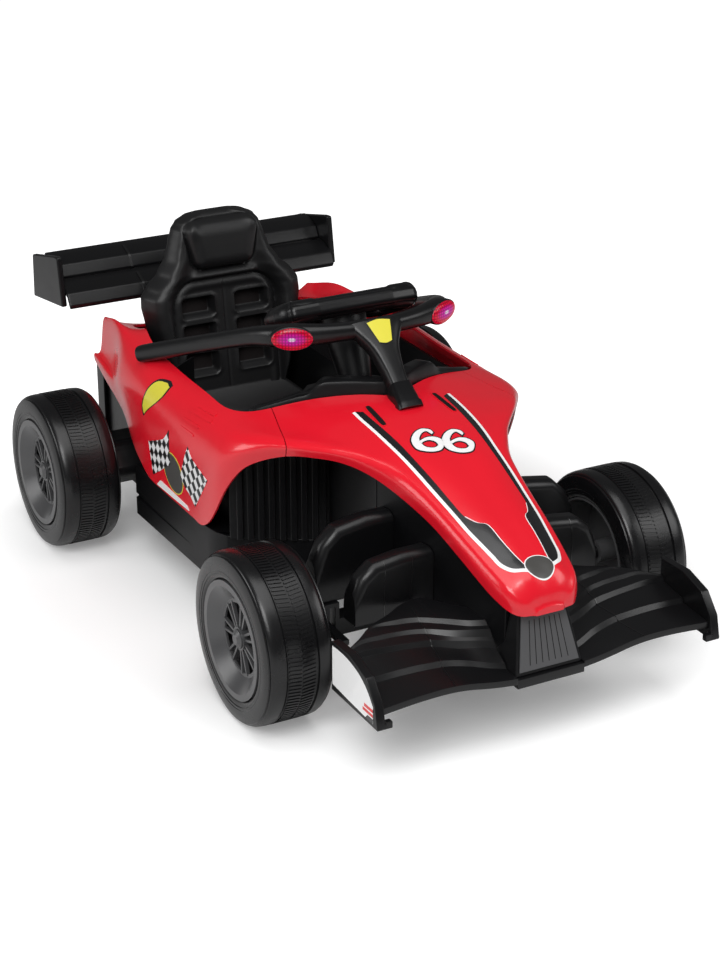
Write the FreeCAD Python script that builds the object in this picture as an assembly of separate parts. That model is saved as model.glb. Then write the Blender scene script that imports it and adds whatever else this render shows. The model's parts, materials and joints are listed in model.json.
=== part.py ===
"""Electric ride on car for a child, in the style of an open wheel racer, in millimetres.

The car faces -Y, +X is the driver's left and +Z is up. The origin is on the ground, on the centre plane,
half way between the tip of the front wing and the trailing edge of the rear wing. Each function below makes
one piece of the car, and the last lines write every piece to its own file.
"""
import FreeCAD, Part
import math
import os

# Wheels and axles
WHEELBASE = 674.0
FRONT_OVERHANG = 293.0
REAR_OVERHANG = 293.0
FRONT_TRACK = 583.0
REAR_TYRE_GAP = 20.0
WHEEL_RADIUS = 125.0
TYRE_WIDTH = 102.0
TYRE_WALL = 4.0
TYRE_SHOULDER = 16.0
TYRE_BEAD_RADIUS = 86.0
TREAD_GROOVE_DEPTH = 1.6
TREAD_GROOVE_WIDTH = 3.0
AXLE_RADIUS = 5.0
AXLE_NUT_RADIUS = 8.5
AXLE_NUT_LENGTH = 7.0

# Rims
RIM_WALL = 3.0
RIM_LIP_WIDTH = 9.0
RIM_DISH_DEPTH = 16.0
SPOKE_RING_RADIUS = 56.0
SPOKE_RING_WIDTH = 5.0
SPOKE_WIDTH = 3.4
SPOKE_PAIRS = 7
SPOKE_SPREAD_DEG = 17.0
SPOKE_DEPTH = 5.0
HUB_RADIUS = 17.0
HUB_POCKET_RADIUS = 11.0
HUB_POCKET_DEPTH = 18.0
HUB_CAP_HEIGHT = 6.0
HUB_CAP_RADIUS = 14.0
RIM_WEB_DEPTH = 36.0

# Red body shells
BODY_HALF_WIDTH = 251.0
BODY_TOP_Z = 374.0
BODY_LOW_Z = 156.0
NOSE_OVERHANG = 274.0
TAIL_OVERHANG = 133.0
SHELL_WALL = 3.5
COCKPIT_FLANGE_DEPTH = 68.0
SEAM_WIDTH = 1.2
STATION_STEP = 24.0

# Chassis tub, sills and radiator panels
FLOOR_Z = 70.0
FLOOR_WALL = 4.0
TUB_WALL = 4.0
FOOT_FLOOR_Z = 110.0
FOOT_HALF_WIDTH = 96.0
SILL_INSET = 5.0
SILL_WALL = 4.0
SILL_GROOVE_HEIGHT = 6.0
SILL_GROOVE_DEPTH = 4.0
RADIATOR_THICKNESS = 8.0
RADIATOR_RIBS = 8
RIB_DEPTH = 6.0
RIB_WIDTH = 9.0

# Nose box, pylon, fairings and front wing
NOSE_BOX_Z = 126.0
NOSE_BOX_TIP_HALF = 46.0
NOSE_BOX_WALL = 4.0
PYLON_TOP_HALF = 29.0
PYLON_FOOT_HALF = 52.5
GRILLE_THICKNESS = 2.0
GRILLE_MARGIN = 5.0
FAIRING_THICKNESS = 36.0
FAIRING_BASE = 8.0
REAR_FAIRING_HALF_WIDTH = 212.0
FRONT_FAIRING_HALF_WIDTH = 196.0
REAR_FAIRING_TOP_Z = 268.0
FRONT_FAIRING_TOP_Z = 244.0
FAIRING_ROUND = 14.0
WING_HALF_SPAN = 257.0
WING_RISE = 72.0
WING_THICKNESS = 9.0
WING_LIP_Z = 112.0
ENDPLATE_THICKNESS = 13.0
ENDPLATE_HEIGHT = 75.0
ENDPLATE_LENGTH = 128.0
ENDPLATE_FOOT = 10.0

# Rear wing and tail
REAR_WING_HALF_SPAN = 246.0
REAR_ENDPLATE_THICKNESS = 10.0
REAR_ENDPLATE_HEIGHT = 102.0
REAR_ENDPLATE_LENGTH = 137.0
REAR_WING_LOW_Z = 319.0
PLANE_CHORD = 62.0
PLANE_THICKNESS = 9.0
PLANE_PITCH_DEG = 30.0
POST_X = 62.0
POST_WIDTH = 14.0
POST_LENGTH = 30.0
POST_RAKE = 36.0
TAIL_WALL = 4.0

# Seat
SEAT_HALF_WIDTH = 145.0
SEAT_TOP_Z = 490.0
SEAT_THICKNESS = 30.0
SEAT_PAN_Z = 186.0
SEAT_PAN_THICKNESS = 6.0
SEAT_FRONT_Y = 150.0
SEAT_LEAN_DEG = 8.0
SEAT_ROUND = 9.0
HEADREST_HALF_WIDTH = 56.0
HEADREST_HEIGHT = 86.0
HEADREST_CROWN = 15.0
HEADREST_CORNER = 16.0
HEADREST_ROUND = 9.0
BACK_PANEL_HALF_WIDTH = 94.0
BACK_PANEL_RECESS = 6.0
BACK_PANEL_WALL = 4.0

# Halo and its lamps
HALO_RADIUS = 17.0
HALO_BAR_Z = 460.0
HALO_LAMP_X = 127.0
HALO_END_X = 226.0
HALO_BEND_RADIUS = 75.0
PILLAR_WIDTH = 38.0
PILLAR_DEPTH = 28.0
PILLAR_ROUND = 7.0
LENS_LENGTH = 66.0
LENS_HEIGHT = 32.0
LENS_CROWN = 9.0
LENS_ANGLE_DEG = 38.0
BEZEL_MARGIN = 5.0

# Steering
COLUMN_TILT_DEG = 27.0
COLUMN_RADIUS = 6.0
STEERING_HUB_Z = 452.0
STEERING_HALF_WIDTH = 118.0
STEERING_DEPTH = 118.0
STEERING_RIM = 24.0
STEERING_THICKNESS = 24.0
STEERING_ROUND = 9.0
STEERING_CORNER = 12.0
BOSS_TOP_RADIUS = 36.0
BOSS_FOOT_RADIUS = 24.0
BUTTON_RADIUS = 9.0
BUTTON_HEIGHT = 8.0
BUTTON_TRAVEL = 2.5
BUTTON_SPACING = 44.0
CRANK_RADIUS = 55.0
CRANK_WIDTH = 16.0
CRANK_THICKNESS = 6.0
STEER_PIN_RADIUS = 4.0
CRANK_PIN_LENGTH = 38.0
KINGPIN_X = 205.0
KINGPIN_RADIUS = 4.0
KNUCKLE_WIDTH = 24.0
KNUCKLE_HEIGHT = 40.0
STEER_ARM_LENGTH = 75.0
STEER_ARM_WIDTH = 12.0
STEER_ARM_THICKNESS = 8.0
TIE_ROD_Z = 58.0
TIE_ROD_THICKNESS = 5.0
TIE_ROD_WIDTH = 20.0
SLOT_SIDE_GAP = 0.9
SLOT_END_GAP = 7.5
BEAM_DEPTH = 28.0
BEAM_HEIGHT = 26.0
EAR_THICKNESS = 6.0
BEAM_WALL = 3.0

# Drive units
GEARBOX_WALL = 3.0
GEARBOX_WIDTH = 61.0
GEARBOX_TYRE_GAP = 9.0
BULKHEAD_WALL = 3.0
BULKHEAD_TOP_Z = 250.0
FINE_MODULE = 1.25
COARSE_MODULE = 1.5
PINION_TEETH = 10
CLUSTER_WHEEL_TEETH = 40
CLUSTER_PINION_TEETH = 12
OUTPUT_TEETH = 48
GEAR_WIDTH = 10.0
OUTPUT_GEAR_WIDTH = 16.0
GEAR_BACKLASH = 0.4
GEAR_SIDE_GAP = 4.0
CLUSTER_PIN_RADIUS = 3.0
OUTPUT_HUB_RADIUS = 13.0
DRIVE_DOG_RADIUS = 11.0
DRIVE_DOG_LENGTH = 20.0
MOTOR_RADIUS = 18.0
MOTOR_LENGTH = 54.0
MOTOR_SHAFT_RADIUS = 1.6
PRESSURE_ANGLE_DEG = 25.0
ADDENDUM_SHARE = 0.8
DEDENDUM_SHARE = 1.05
CLUSTER_RISE_DEG = 20.0
PINION_RISE_DEG = -10.0
DOG_SIDES = 6

# Steps of the rounded outlines
FLANK_STEPS = 4
HULL_STEPS = 24
ROUND_STEPS = 6

# Electrics, pedal and dash
BATTERY_SIZE = (150.0, 65.0, 94.0)
CONTROL_BOX_SIZE = (90.0, 40.0, 60.0)
DASH_Z = 333.0
DASH_THICKNESS = 5.0
DASH_COLLAR_HEIGHT = 20.0
DASH_COLLAR_WALL = 5.0
PEDAL_WIDTH = 60.0
PEDAL_LENGTH = 90.0
PEDAL_THICKNESS = 8.0
PEDAL_ANGLE_DEG = 35.0
PEDAL_X = -46.0
PEDAL_PIN_RADIUS = 3.0
PEDAL_KNUCKLE_RADIUS = 7.0
PEDAL_EAR_WIDTH = 6.0
SWITCH_X = 92.0
SWITCH_RADIUS = 10.0
SWITCH_HEIGHT = 9.0
SWITCH_TRAVEL = 3.0
ROCKER_LENGTH = 30.0
ROCKER_WIDTH = 16.0
ROCKER_PIN_RADIUS = 1.5
SOCKET_RADIUS = 9.0
SOCKET_BORE_RADIUS = 3.0
SOCKET_BORE_DEPTH = 14.0
SOCKET_LENGTH = 20.0
SOCKET_FLANGE = 3.0

# Clearances
RUN_GAP = 0.05
FIT_GAP = 0.3
SHELL_GAP = 0.6
SILL_GAP = 0.9
WORK_GAP = 3.0
OVERRUN = 30.0
EDGE_TOLERANCE = 0.01
EDGE_REACH = 8.0

# Places that follow from the sizes above
FRONT_AXLE_Y = -WHEELBASE / 2
REAR_AXLE_Y = WHEELBASE / 2
AXLE_Z = WHEEL_RADIUS
CAR_FRONT_Y = FRONT_AXLE_Y - FRONT_OVERHANG
CAR_REAR_Y = REAR_AXLE_Y + REAR_OVERHANG
HALF_TYRE = TYRE_WIDTH / 2
FLOOR_TOP_Z = FLOOR_Z + FLOOR_WALL
FOOT_FLOOR_TOP_Z = FOOT_FLOOR_Z + FLOOR_WALL
SILL_TOP_Z = BODY_LOW_Z - SILL_GAP
BODY_SPAN_Z = BODY_TOP_Z - BODY_LOW_Z
TIE_ROD_Y = FRONT_AXLE_Y - STEER_ARM_LENGTH
REAR_TRACK = 2 * (BODY_HALF_WIDTH + REAR_TYRE_GAP) + TYRE_WIDTH
SILL_HALF_WIDTH = BODY_HALF_WIDTH - SILL_INSET
GEARBOX_OUTER_X = REAR_TRACK / 2 - HALF_TYRE - GEARBOX_TYRE_GAP
GEARBOX_INNER_X = GEARBOX_OUTER_X - GEARBOX_WIDTH
SOCKET_Z = FLOOR_TOP_Z + 3 * SOCKET_RADIUS
COLUMN_FOOT = -(STEERING_HUB_Z - FLOOR_Z + COLUMN_RADIUS) / math.cos(math.radians(COLUMN_TILT_DEG))
OUTPUT_DISTANCE = COARSE_MODULE * (OUTPUT_TEETH + CLUSTER_PINION_TEETH) / 2
PINION_DISTANCE = FINE_MODULE * (CLUSTER_WHEEL_TEETH + PINION_TEETH) / 2
FINE_START = GEARBOX_INNER_X + GEAR_SIDE_GAP
FINE_END = FINE_START + GEAR_WIDTH
COARSE_START = FINE_END + GEAR_SIDE_GAP
COARSE_END = COARSE_START + OUTPUT_GEAR_WIDTH
WHEEL_CORNERS = (
    ("front_left", 1, FRONT_TRACK, FRONT_AXLE_Y, False),
    ("front_right", -1, FRONT_TRACK, FRONT_AXLE_Y, False),
    ("rear_left", 1, REAR_TRACK, REAR_AXLE_Y, True),
    ("rear_right", -1, REAR_TRACK, REAR_AXLE_Y, True),
)

# Body sections. Each row gives the place along the car, the half width, and the heights of the crown, the
# middle, the shoulder, the flank and the lower edge. Places run from -1 at the nose lip to 0 at the front
# axle, 1 at the rear axle and 2 at the tail. Widths are shares of the half width, heights of the depth.
POD_STATION_SHARES = (
    (-1.0, 0.085, 0.29, 0.287, 0.278, 0.262, 0.245),
    (-0.985, 0.145, 0.36, 0.355, 0.333, 0.295, 0.25),
    (-0.96, 0.19, 0.425, 0.418, 0.38, 0.32, 0.258),
    (-0.91, 0.225, 0.49, 0.48, 0.432, 0.367, 0.284),
    (-0.81, 0.251, 0.543, 0.53, 0.486, 0.417, 0.33),
    (-0.6, 0.281, 0.647, 0.635, 0.59, 0.527, 0.44),
    (-0.34, 0.311, 0.76, 0.75, 0.71, 0.65, 0.56),
    (-0.1, 0.36, 0.853, 0.844, 0.807, 0.743, 0.647),
    (0.055, 0.486, 0.922, 0.908, 0.872, 0.83, 0.757),
    (0.107, 0.598, 0.95, 0.927, 0.885, 0.849, 0.789),
    (0.159, 0.709, 0.972, 0.938, 0.885, 0.844, 0.78),
    (0.218, 0.817, 0.995, 0.945, 0.876, 0.817, 0.725),
    (0.277, 0.928, 1.0, 0.945, 0.862, 0.743, 0.606),
    (0.337, 0.988, 1.0, 0.94, 0.849, 0.638, 0.362),
    (0.389, 1.0, 1.0, 0.936, 0.846, 0.573, 0.128),
    (0.45, 1.0, 1.0, 0.93, 0.846, 0.55, 0.0),
    (0.589, 1.0, 1.0, 0.93, 0.849, 0.55, 0.0),
    (0.72, 1.0, 0.99, 0.93, 0.862, 0.57, 0.0),
    (0.834, 0.984, 0.96, 0.92, 0.867, 0.587, 0.11),
    (0.93, 0.956, 0.92, 0.9, 0.867, 0.583, 0.303),
)
TAIL_STATION_SHARES = (
    (1.32, 0.904, 0.73, 0.75, 0.81, 0.52, 0.385),
    (2.0, 0.845, 0.61, 0.635, 0.72, 0.495, 0.417),
)
POD_ACROSS_SHARES = (0.0, 0.5, 0.82, 0.94, 1.0, 1.0, 0.985)
TAIL_ACROSS_SHARES = (0.0, 0.5, 0.84, 0.915, 0.945, 0.99, 1.0)
POD_BROW_SHARE = 0.32
TAIL_BROW_SHARE = 0.03
POD_BELLY_SHARE = 0.5
TAIL_BELLY_SHARE = 0.3
SECTION_KNOT_SHARES = (0.0, 0.36, 0.6, 0.72, 0.82, 0.91, 1.0)
HOLLOW_WIDTH_RATIO = 11.0

# Cockpit opening, as shares of the body's half width and places along the car
COCKPIT_SHARES = (
    (0.0, 0.2255),
    (0.12, 0.245),
    (0.279, 0.282),
    (0.438, 0.313),
    (0.598, 0.34),
    (0.737, 0.369),
    (0.809, 0.418),
    (0.821, 0.5),
    (0.821, 0.72),
    (0.797, 0.841),
    (0.725, 0.96),
    (0.657, 1.32),
    (0.62, 1.72),
    (0.0, 1.86),
)
SEAM_INNER_SHARES = (0.598, 0.4)
SEAM_OUTER_SHARES = (0.797, 0.1335)
TUB_RIM_SHARE = 0.285

# Plan places of the tub, sills and radiators, on the same two scales
RADIATOR_OUTER_SHARES = (0.91, 0.357)
RADIATOR_INNER_SHARES = (0.414, 0.253)
FOOT_FRONT_SHARE = 0.047
FOOT_STEP_SHARE = 0.262
TUB_SIDE_SHARE = 0.817
TUB_TAPER_SHARES = (0.782, 0.856)
TUB_REAR_SHARE = 1.8
REAR_TUB_SHARE = 0.538
SILL_REAR_SHARE = 0.835
SILL_CORNER_SHARES = ((0.98, 0.44), (0.965, 0.4), (0.93, 0.372))
SILL_GROOVE_SHARE = 0.36

# Nose box tip, fairings and pylon along the nose, from the front axle to the nose lip
NOSE_BOX_TIP_SHARE = 0.86
PYLON_FOOT_SHARES = (1.011, 0.7)
PYLON_TOP_SHARES = (0.869, 0.74)
PYLON_TOP_Z_SHARE = 0.486
GRILLE_LOW_SHARE = 0.04
GRILLE_HIGH_SHARE = 0.57
REAR_FAIRING_SHARE = -0.036
FRONT_FAIRING_SHARE = 0.274
FAIRING_FLAT_SHARE = 0.62
FAIRING_TIP_SHARE = 0.52
FAIRING_SHARES = ((0.84, 0.93), (0.95, 0.74))

# Front wing sections: places across the span, trailing edge and lip height, then the stepped top line
WING_ACROSS_SHARES = (0.0, 0.195, 0.207, 0.39, 0.56, 0.78, 1.0)
WING_REAR_SHARES = (0.62, 0.62, 0.62, 0.63, 0.63, 0.5, 0.36)
WING_LIP_SHARES = (0.0, 0.0, 0.097, 0.18, 0.29, 0.29, 0.2)
WING_RISE_SHARES = (0.0, 0.0, 1.0, 0.67, 0.43, 0.43, 0.36)
WING_BLEND_SHARES = (0.0, 0.0, 0.0, 0.5, 1.0, 1.0, 1.0)
WING_INNER_SHARES = (
    (0.0, 0.0),
    (0.34, 0.02),
    (0.365, 0.5),
    (0.41, 0.62),
    (0.43, 0.86),
    (0.49, 0.96),
    (0.75, 1.0),
    (1.0, 1.0),
)
WING_OUTER_SHARES = (
    (0.0, 0.0),
    (0.3, 0.08),
    (0.325, 0.22),
    (0.52, 0.32),
    (0.545, 0.52),
    (0.76, 0.66),
    (0.785, 0.9),
    (1.0, 1.0),
)
ENDPLATE_TOP_SHARES = ((1.0, 0.97), (0.6, 1.0), (0.25, 0.83), (0.06, 0.46), (0.0, 0.04))
PLANE_SHARES = ((0.0, 0.0), (0.3, 0.16), (0.7, 0.1), (1.0, -0.02))
REAR_ENDPLATE_SHARES = ((0.0, 0.2), (0.1, 1.0), (0.2, 0.99), (0.97, 0.74), (1.0, 0.0))
MAIN_PLANE_SHARES = (-0.07, 0.17)
FLAP_SHARES = (0.355, 0.482)

# Seat outline, as shares of its half width and of its height above the pan
SEAT_OUTLINE_SHARES = (
    (0.72, 0.0),
    (0.82, 0.16),
    (0.91, 0.32),
    (0.96, 0.42),
    (1.0, 0.51),
    (0.93, 0.6),
    (0.74, 0.685),
    (0.6, 0.8),
    (0.52, 0.93),
    (0.36, 0.985),
    (0.0, 1.0),
)
SEAT_BACK_SHARE = 1.36
WINDOW_ROWS = 3
WINDOW_COLUMN_SHARES = (0.21, 0.83)
WINDOW_SHARE = 0.7
BACK_PANEL_SHARES = (0.08, 0.6)
HEADREST_LOW_SHARE = 0.655
HEADREST_FOOT_SHARE = 0.66

# Halo along the car, and the widths of its pillar from the foot up to the bar
HALO_LAMP_SHARE = 0.336
HALO_BAR_SHARE = 0.255
HALO_END_SHARE = 0.81
HALO_END_HEIGHT_SHARE = 0.87
PILLAR_FOOT_SHARE = 0.172
PILLAR_SHARES = ((0.0, 1.0), (0.36, 1.0), (0.4, 0.86), (0.62, 0.84), (0.8, 1.15), (0.92, 1.9), (1.0, 2.7))

# Dash, steering wheel outlines and the places of the electrics along the car
DASH_REAR_SHARES = ((0.809, 0.43), (0.6, 0.425), (0.35, 0.44), (0.2, 0.5), (0.0, 0.51))
DASH_CONTROL_SHARE = 0.415
COLUMN_HUB_SHARE = 0.478
STEERING_OUTLINE_SHARES = (
    (0.0, -0.5),
    (0.52, -0.5),
    (0.88, -0.46),
    (1.0, -0.14),
    (0.97, 0.25),
    (0.76, 0.48),
    (0.42, 0.38),
    (0.0, 0.36),
)
GRIP_HOLE_SHARES = ((0.46, -0.22), (0.76, -0.22), (0.77, 0.1), (0.64, 0.22), (0.5, 0.14))
PEDAL_HINGE_SHARE = 0.225
BATTERY_SHARE = 0.84
CONTROL_BOX_SHARE = 0.4

# Tread grooves across the tyre
GROOVE_SHARES = (-0.48, 0.48)


def point(x, y, z):
    """A point in the car's frame."""
    return FreeCAD.Vector(x, y, z)


def along(share):
    """The place along the car for a share: nose lip -1, front axle 0, rear axle 1, tail 2."""
    if share < 0:
        return FRONT_AXLE_Y + share * NOSE_OVERHANG
    if share > 1:
        return REAR_AXLE_Y + (share - 1) * TAIL_OVERHANG
    return FRONT_AXLE_Y + share * WHEELBASE


def height(share):
    """The height of a share of the body's depth."""
    return BODY_LOW_Z + share * BODY_SPAN_Z


def plan(shares):
    """Plan point of a share of the body's half width and a place along the car."""
    return (shares[0] * BODY_HALF_WIDTH, along(shares[1]))


def block(low, high):
    """A box between two corners."""
    size = [b - a for a, b in zip(low, high)]
    return Part.makeBox(*size, FreeCAD.Vector(*low))


def rod(start, end, radius):
    """A round bar between two points."""
    line = end - start
    return Part.makeCylinder(radius, line.Length, start, line)


def prism(points, low, high, plane="xy"):
    """A straight sided solid from a flat outline, drawn in the named plane and run along the third axis."""
    places = {
        "xy": lambda u, v: point(u, v, low),
        "yz": lambda u, v: point(low, u, v),
        "xz": lambda u, v: point(u, low, v),
    }
    runs = {"xy": point(0, 0, high - low), "yz": point(high - low, 0, 0), "xz": point(0, high - low, 0)}
    corners = [places[plane](u, v) for u, v in points]
    return Part.Face(Part.makePolygon(corners + corners[:1])).extrude(runs[plane])


def spline_prism(points, low, high):
    """A solid with a smooth closed plan outline."""
    curve = Part.BSplineCurve()
    curve.interpolate(Points=[point(x, y, low) for x, y in points], PeriodicFlag=True)
    return Part.Face(Part.Wire(curve.toShape())).extrude(point(0, 0, high - low))


def mirrored(shape):
    """The same piece on the other side of the car."""
    return shape.mirror(point(0, 0, 0), point(1, 0, 0))


def both_sides(half):
    """A half outline, from front to rear, made whole on both sides of the centre plane."""
    return half + [(-x, y) for x, y in reversed(half) if x != 0]


def unit(u, v):
    """The direction of a plan vector."""
    length = math.hypot(u, v)
    return (u / length, v / length)


def offset_points(points, distance):
    """An open outline moved sideways: to its right for a positive distance."""
    moved = []
    for i, (u, v) in enumerate(points):
        before = points[max(i - 1, 0)]
        after = points[min(i + 1, len(points) - 1)]
        du, dv = unit(after[0] - before[0], after[1] - before[1])
        moved.append((u + dv * distance, v - du * distance))
    return moved


def eased(places, values, place):
    """A value between two stations, on a smooth line through all of them that never overshoots."""
    steps = [b - a for a, b in zip(places, places[1:])]
    slopes = [(b - a) / step for a, b, step in zip(values, values[1:], steps)]
    ends = [slopes[0]]
    for before, after in zip(slopes, slopes[1:]):
        ends.append(0 if before * after <= 0 else 2 * before * after / (before + after))
    ends.append(slopes[-1])
    i = max(k for k, y in enumerate(places[:-1]) if y <= place)
    t = (place - places[i]) / steps[i]
    rise = t * t * (3 - 2 * t) * (values[i + 1] - values[i])
    lean = (1 - t) * ends[i] - t * ends[i + 1]
    return values[i] + rise + steps[i] * t * (1 - t) * lean


def station_rows():
    """The half section of the body at each drawn station: its place along the car and points in X and Z."""
    kinds = (
        (POD_STATION_SHARES, POD_ACROSS_SHARES, POD_BROW_SHARE, POD_BELLY_SHARE),
        (TAIL_STATION_SHARES, TAIL_ACROSS_SHARES, TAIL_BROW_SHARE, TAIL_BELLY_SHARE),
    )
    rows = []
    for stations, across, brow_share, belly_share in kinds:
        for place, width, crown, middle, shoulder, flank, edge in stations:
            brow = shoulder + (flank - shoulder) * brow_share
            belly = flank + (edge - flank) * belly_share
            heights = (crown, middle, shoulder, brow, flank, belly, edge)
            half = [(s * width * BODY_HALF_WIDTH, height(h)) for s, h in zip(across, heights)]
            rows.append((along(place), half))
    return rows


def section_rows():
    """The drawn stations with even steps between them."""
    drawn = station_rows()
    places = [y for y, _ in drawn]
    rows = []
    for start, end in zip(places, places[1:]):
        count = math.ceil((end - start) / STATION_STEP)
        rows += [start + (end - start) * i / count for i in range(count)]
    rows.append(places[-1])
    filled = []
    for y in rows:
        half = []
        for k in range(len(POD_ACROSS_SHARES)):
            x = eased(places, [section[k][0] for _, section in drawn], y)
            z = eased(places, [section[k][1] for _, section in drawn], y)
            half.append((x, z))
        filled.append((y, half))
    return filled


def body_loft(inset, low_z=None):
    """A smooth solid inside the body's outer surface by the inset, with its sides run down to a height.

    Sections at the nose that are too narrow for the inset are left out, so the tip of the nose is solid.
    """
    rows = [row for row in section_rows() if row[1][4][0] > HOLLOW_WIDTH_RATIO * inset]
    first_y = rows[0][0] + inset
    last_y = rows[-1][0] - inset
    wires = []
    for y, half in rows:
        y = min(max(y, first_y), last_y)
        if wires and y == first_y:
            continue
        inner = offset_points(half, inset)
        inner[0] = (0, half[0][1] - inset)
        if low_z is not None:
            inner[-1] = (inner[-1][0], inner[-1][1] - EDGE_REACH)
        whole = [(-u, v) for u, v in reversed(inner[1:])] + inner
        knots = [-k for k in reversed(SECTION_KNOT_SHARES[1:])] + list(SECTION_KNOT_SHARES)
        curve = Part.BSplineCurve()
        curve.interpolate(Points=[point(u, y, v) for u, v in whole], Parameters=knots)
        edges = [curve.toShape()]
        left = point(whole[0][0], y, whole[0][1])
        right = point(whole[-1][0], y, whole[-1][1])
        if low_z is None:
            edges.append(Part.LineSegment(right, left).toShape())
        else:
            foot_right = point(right.x, y, low_z)
            foot_left = point(left.x, y, low_z)
            edges.append(Part.LineSegment(right, foot_right).toShape())
            edges.append(Part.LineSegment(foot_right, foot_left).toShape())
            edges.append(Part.LineSegment(foot_left, left).toShape())
        wires.append(Part.Wire(edges))
    return Part.makeLoft(wires, True, False)


def cockpit_prism(grow):
    """The cockpit opening as a tall solid, wider than the opening by a distance all round."""
    half = [plan(shares) for shares in COCKPIT_SHARES]
    wide = offset_points(half, -grow)
    wide[0] = (0, half[0][1] - grow)
    wide[-1] = (0, half[-1][1] + grow)
    return spline_prism(both_sides(wide), FLOOR_Z, BODY_TOP_Z + OVERRUN)


def red_shells():
    """The nose cover and the main body shell, cut apart along the seams beside the cockpit."""
    outer = body_loft(0)
    shell = outer.cut(body_loft(SHELL_WALL, FLOOR_Z))
    flange_low = BODY_TOP_Z - COCKPIT_FLANGE_DEPTH
    ring = cockpit_prism(SHELL_WALL).cut(cockpit_prism(0))
    keep = block(
        (-BODY_HALF_WIDTH, along(-1), flange_low),
        (BODY_HALF_WIDTH, along(2), BODY_TOP_Z + OVERRUN),
    )
    flange = ring.common(keep).common(outer)
    shell = shell.cut(cockpit_prism(0)).fuse(flange)
    start = plan(SEAM_INNER_SHARES)
    end = plan(SEAM_OUTER_SHARES)
    side = unit(end[0] - start[0], end[1] - start[1])
    half = SEAM_WIDTH / 2
    right = (side[1] * half, -side[0] * half)
    corners = [
        (start[0] + right[0], start[1] + right[1]),
        (end[0] + right[0], end[1] + right[1]),
        (end[0] - right[0], end[1] - right[1]),
        (start[0] - right[0], start[1] - right[1]),
    ]
    slit = prism(corners, FLOOR_Z, BODY_TOP_Z + OVERRUN)
    pieces = shell.cut(slit).cut(mirrored(slit)).Solids
    pieces.sort(key=lambda piece: piece.CenterOfMass.y)
    for piece in pieces:
        piece.fix(EDGE_TOLERANCE, EDGE_TOLERANCE, EDGE_TOLERANCE)
    return pieces[0], pieces[-1]


def radiator_line(back):
    """The inner and outer ends of the radiator's front face, moved back by a distance."""
    inner = plan(RADIATOR_INNER_SHARES)
    outer = plan(RADIATOR_OUTER_SHARES)
    du, dv = unit(outer[0] - inner[0], outer[1] - inner[1])
    return [(u - dv * back, v + du * back) for u, v in (inner, outer)]


def on_line(ends, x):
    """The plan point at a distance from the centre plane on a line through two points."""
    (x0, y0), (x1, y1) = ends
    return (x, y0 + (y1 - y0) * (x - x0) / (x1 - x0))


def tub_outline(inset):
    """The half plan of the chassis tub, moved inwards by a wall."""
    shoulder = radiator_line(RADIATOR_THICKNESS + SHELL_GAP + inset)
    side = TUB_SIDE_SHARE * BODY_HALF_WIDTH - inset
    foot = FOOT_HALF_WIDTH - inset
    rear_half = REAR_TUB_SHARE * BODY_HALF_WIDTH - inset
    return [
        (foot, along(FOOT_FRONT_SHARE) + inset),
        on_line(shoulder, foot),
        on_line(shoulder, side),
        (side, along(TUB_TAPER_SHARES[0])),
        (rear_half, along(TUB_TAPER_SHARES[1])),
        (rear_half, along(TUB_REAR_SHARE) - inset),
    ]


def column_point(distance):
    """A point on the steering column, at a distance above the steering wheel's hub."""
    tilt = math.radians(COLUMN_TILT_DEG)
    hub_y = along(COLUMN_HUB_SHARE)
    return point(0, hub_y + distance * math.sin(tilt), STEERING_HUB_Z + distance * math.cos(tilt))


def in_column_frame(shape):
    """Moves a piece drawn about a vertical column, with its hub at the origin, to its place in the car."""
    turned = shape.copy()
    turned.rotate(point(0, 0, 0), point(1, 0, 0), -COLUMN_TILT_DEG)
    turned.translate(column_point(0))
    return turned


def axle_line(radius):
    """The line of the rear axle as a bar right across the car."""
    half = REAR_TRACK / 2 + HALF_TYRE
    return rod(point(-half, REAR_AXLE_Y, AXLE_Z), point(half, REAR_AXLE_Y, AXLE_Z), radius)


def chassis_tub(under_shell):
    """The black tub: floor, raised foot well floor, and side walls that reach up under the red shells."""
    outer = prism(both_sides(tub_outline(0)), FLOOR_Z, BODY_TOP_Z)
    inner = prism(both_sides(tub_outline(TUB_WALL)), FLOOR_TOP_Z, BODY_TOP_Z + OVERRUN)
    tub = outer.cut(inner)
    front_y = along(FOOT_FRONT_SHARE)
    step_y = along(FOOT_STEP_SHARE)
    foot = FOOT_HALF_WIDTH
    riser = block((-foot, step_y, FLOOR_Z), (foot, step_y + FLOOR_WALL, FOOT_FLOOR_TOP_Z))
    floor = block((-foot, front_y, FOOT_FLOOR_Z), (foot, step_y + FLOOR_WALL, FOOT_FLOOR_TOP_Z))
    room = block(
        (-foot - OVERRUN, front_y - OVERRUN, FLOOR_Z - OVERRUN),
        (foot + OVERRUN, step_y, FOOT_FLOOR_Z),
    )
    tub = tub.cut(room).fuse(riser).fuse(floor).removeSplitter()
    flange_low = BODY_TOP_Z - COCKPIT_FLANGE_DEPTH
    rim_z = flange_low + 2 * FLOOR_WALL
    open_top = block(
        (-BODY_HALF_WIDTH, along(TUB_RIM_SHARE), rim_z),
        (BODY_HALF_WIDTH, along(2), BODY_TOP_Z + OVERRUN),
    )
    low_rear = block(
        (-BODY_HALF_WIDTH, along(TUB_TAPER_SHARES[1]), BULKHEAD_TOP_Z),
        (BODY_HALF_WIDTH, along(2), BODY_TOP_Z + OVERRUN),
    )
    tub = tub.cut(open_top).cut(low_rear).cut(cockpit_cut_ring())
    tub = tub.common(under_shell)
    tub = tub.cut(in_column_frame(rod(point(0, 0, 0), point(0, 0, COLUMN_FOOT), COLUMN_RADIUS + RUN_GAP)))
    tub = tub.cut(axle_line(AXLE_RADIUS + FIT_GAP))
    return tub.cut(socket_hole(along(TUB_REAR_SHARE)))


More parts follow.
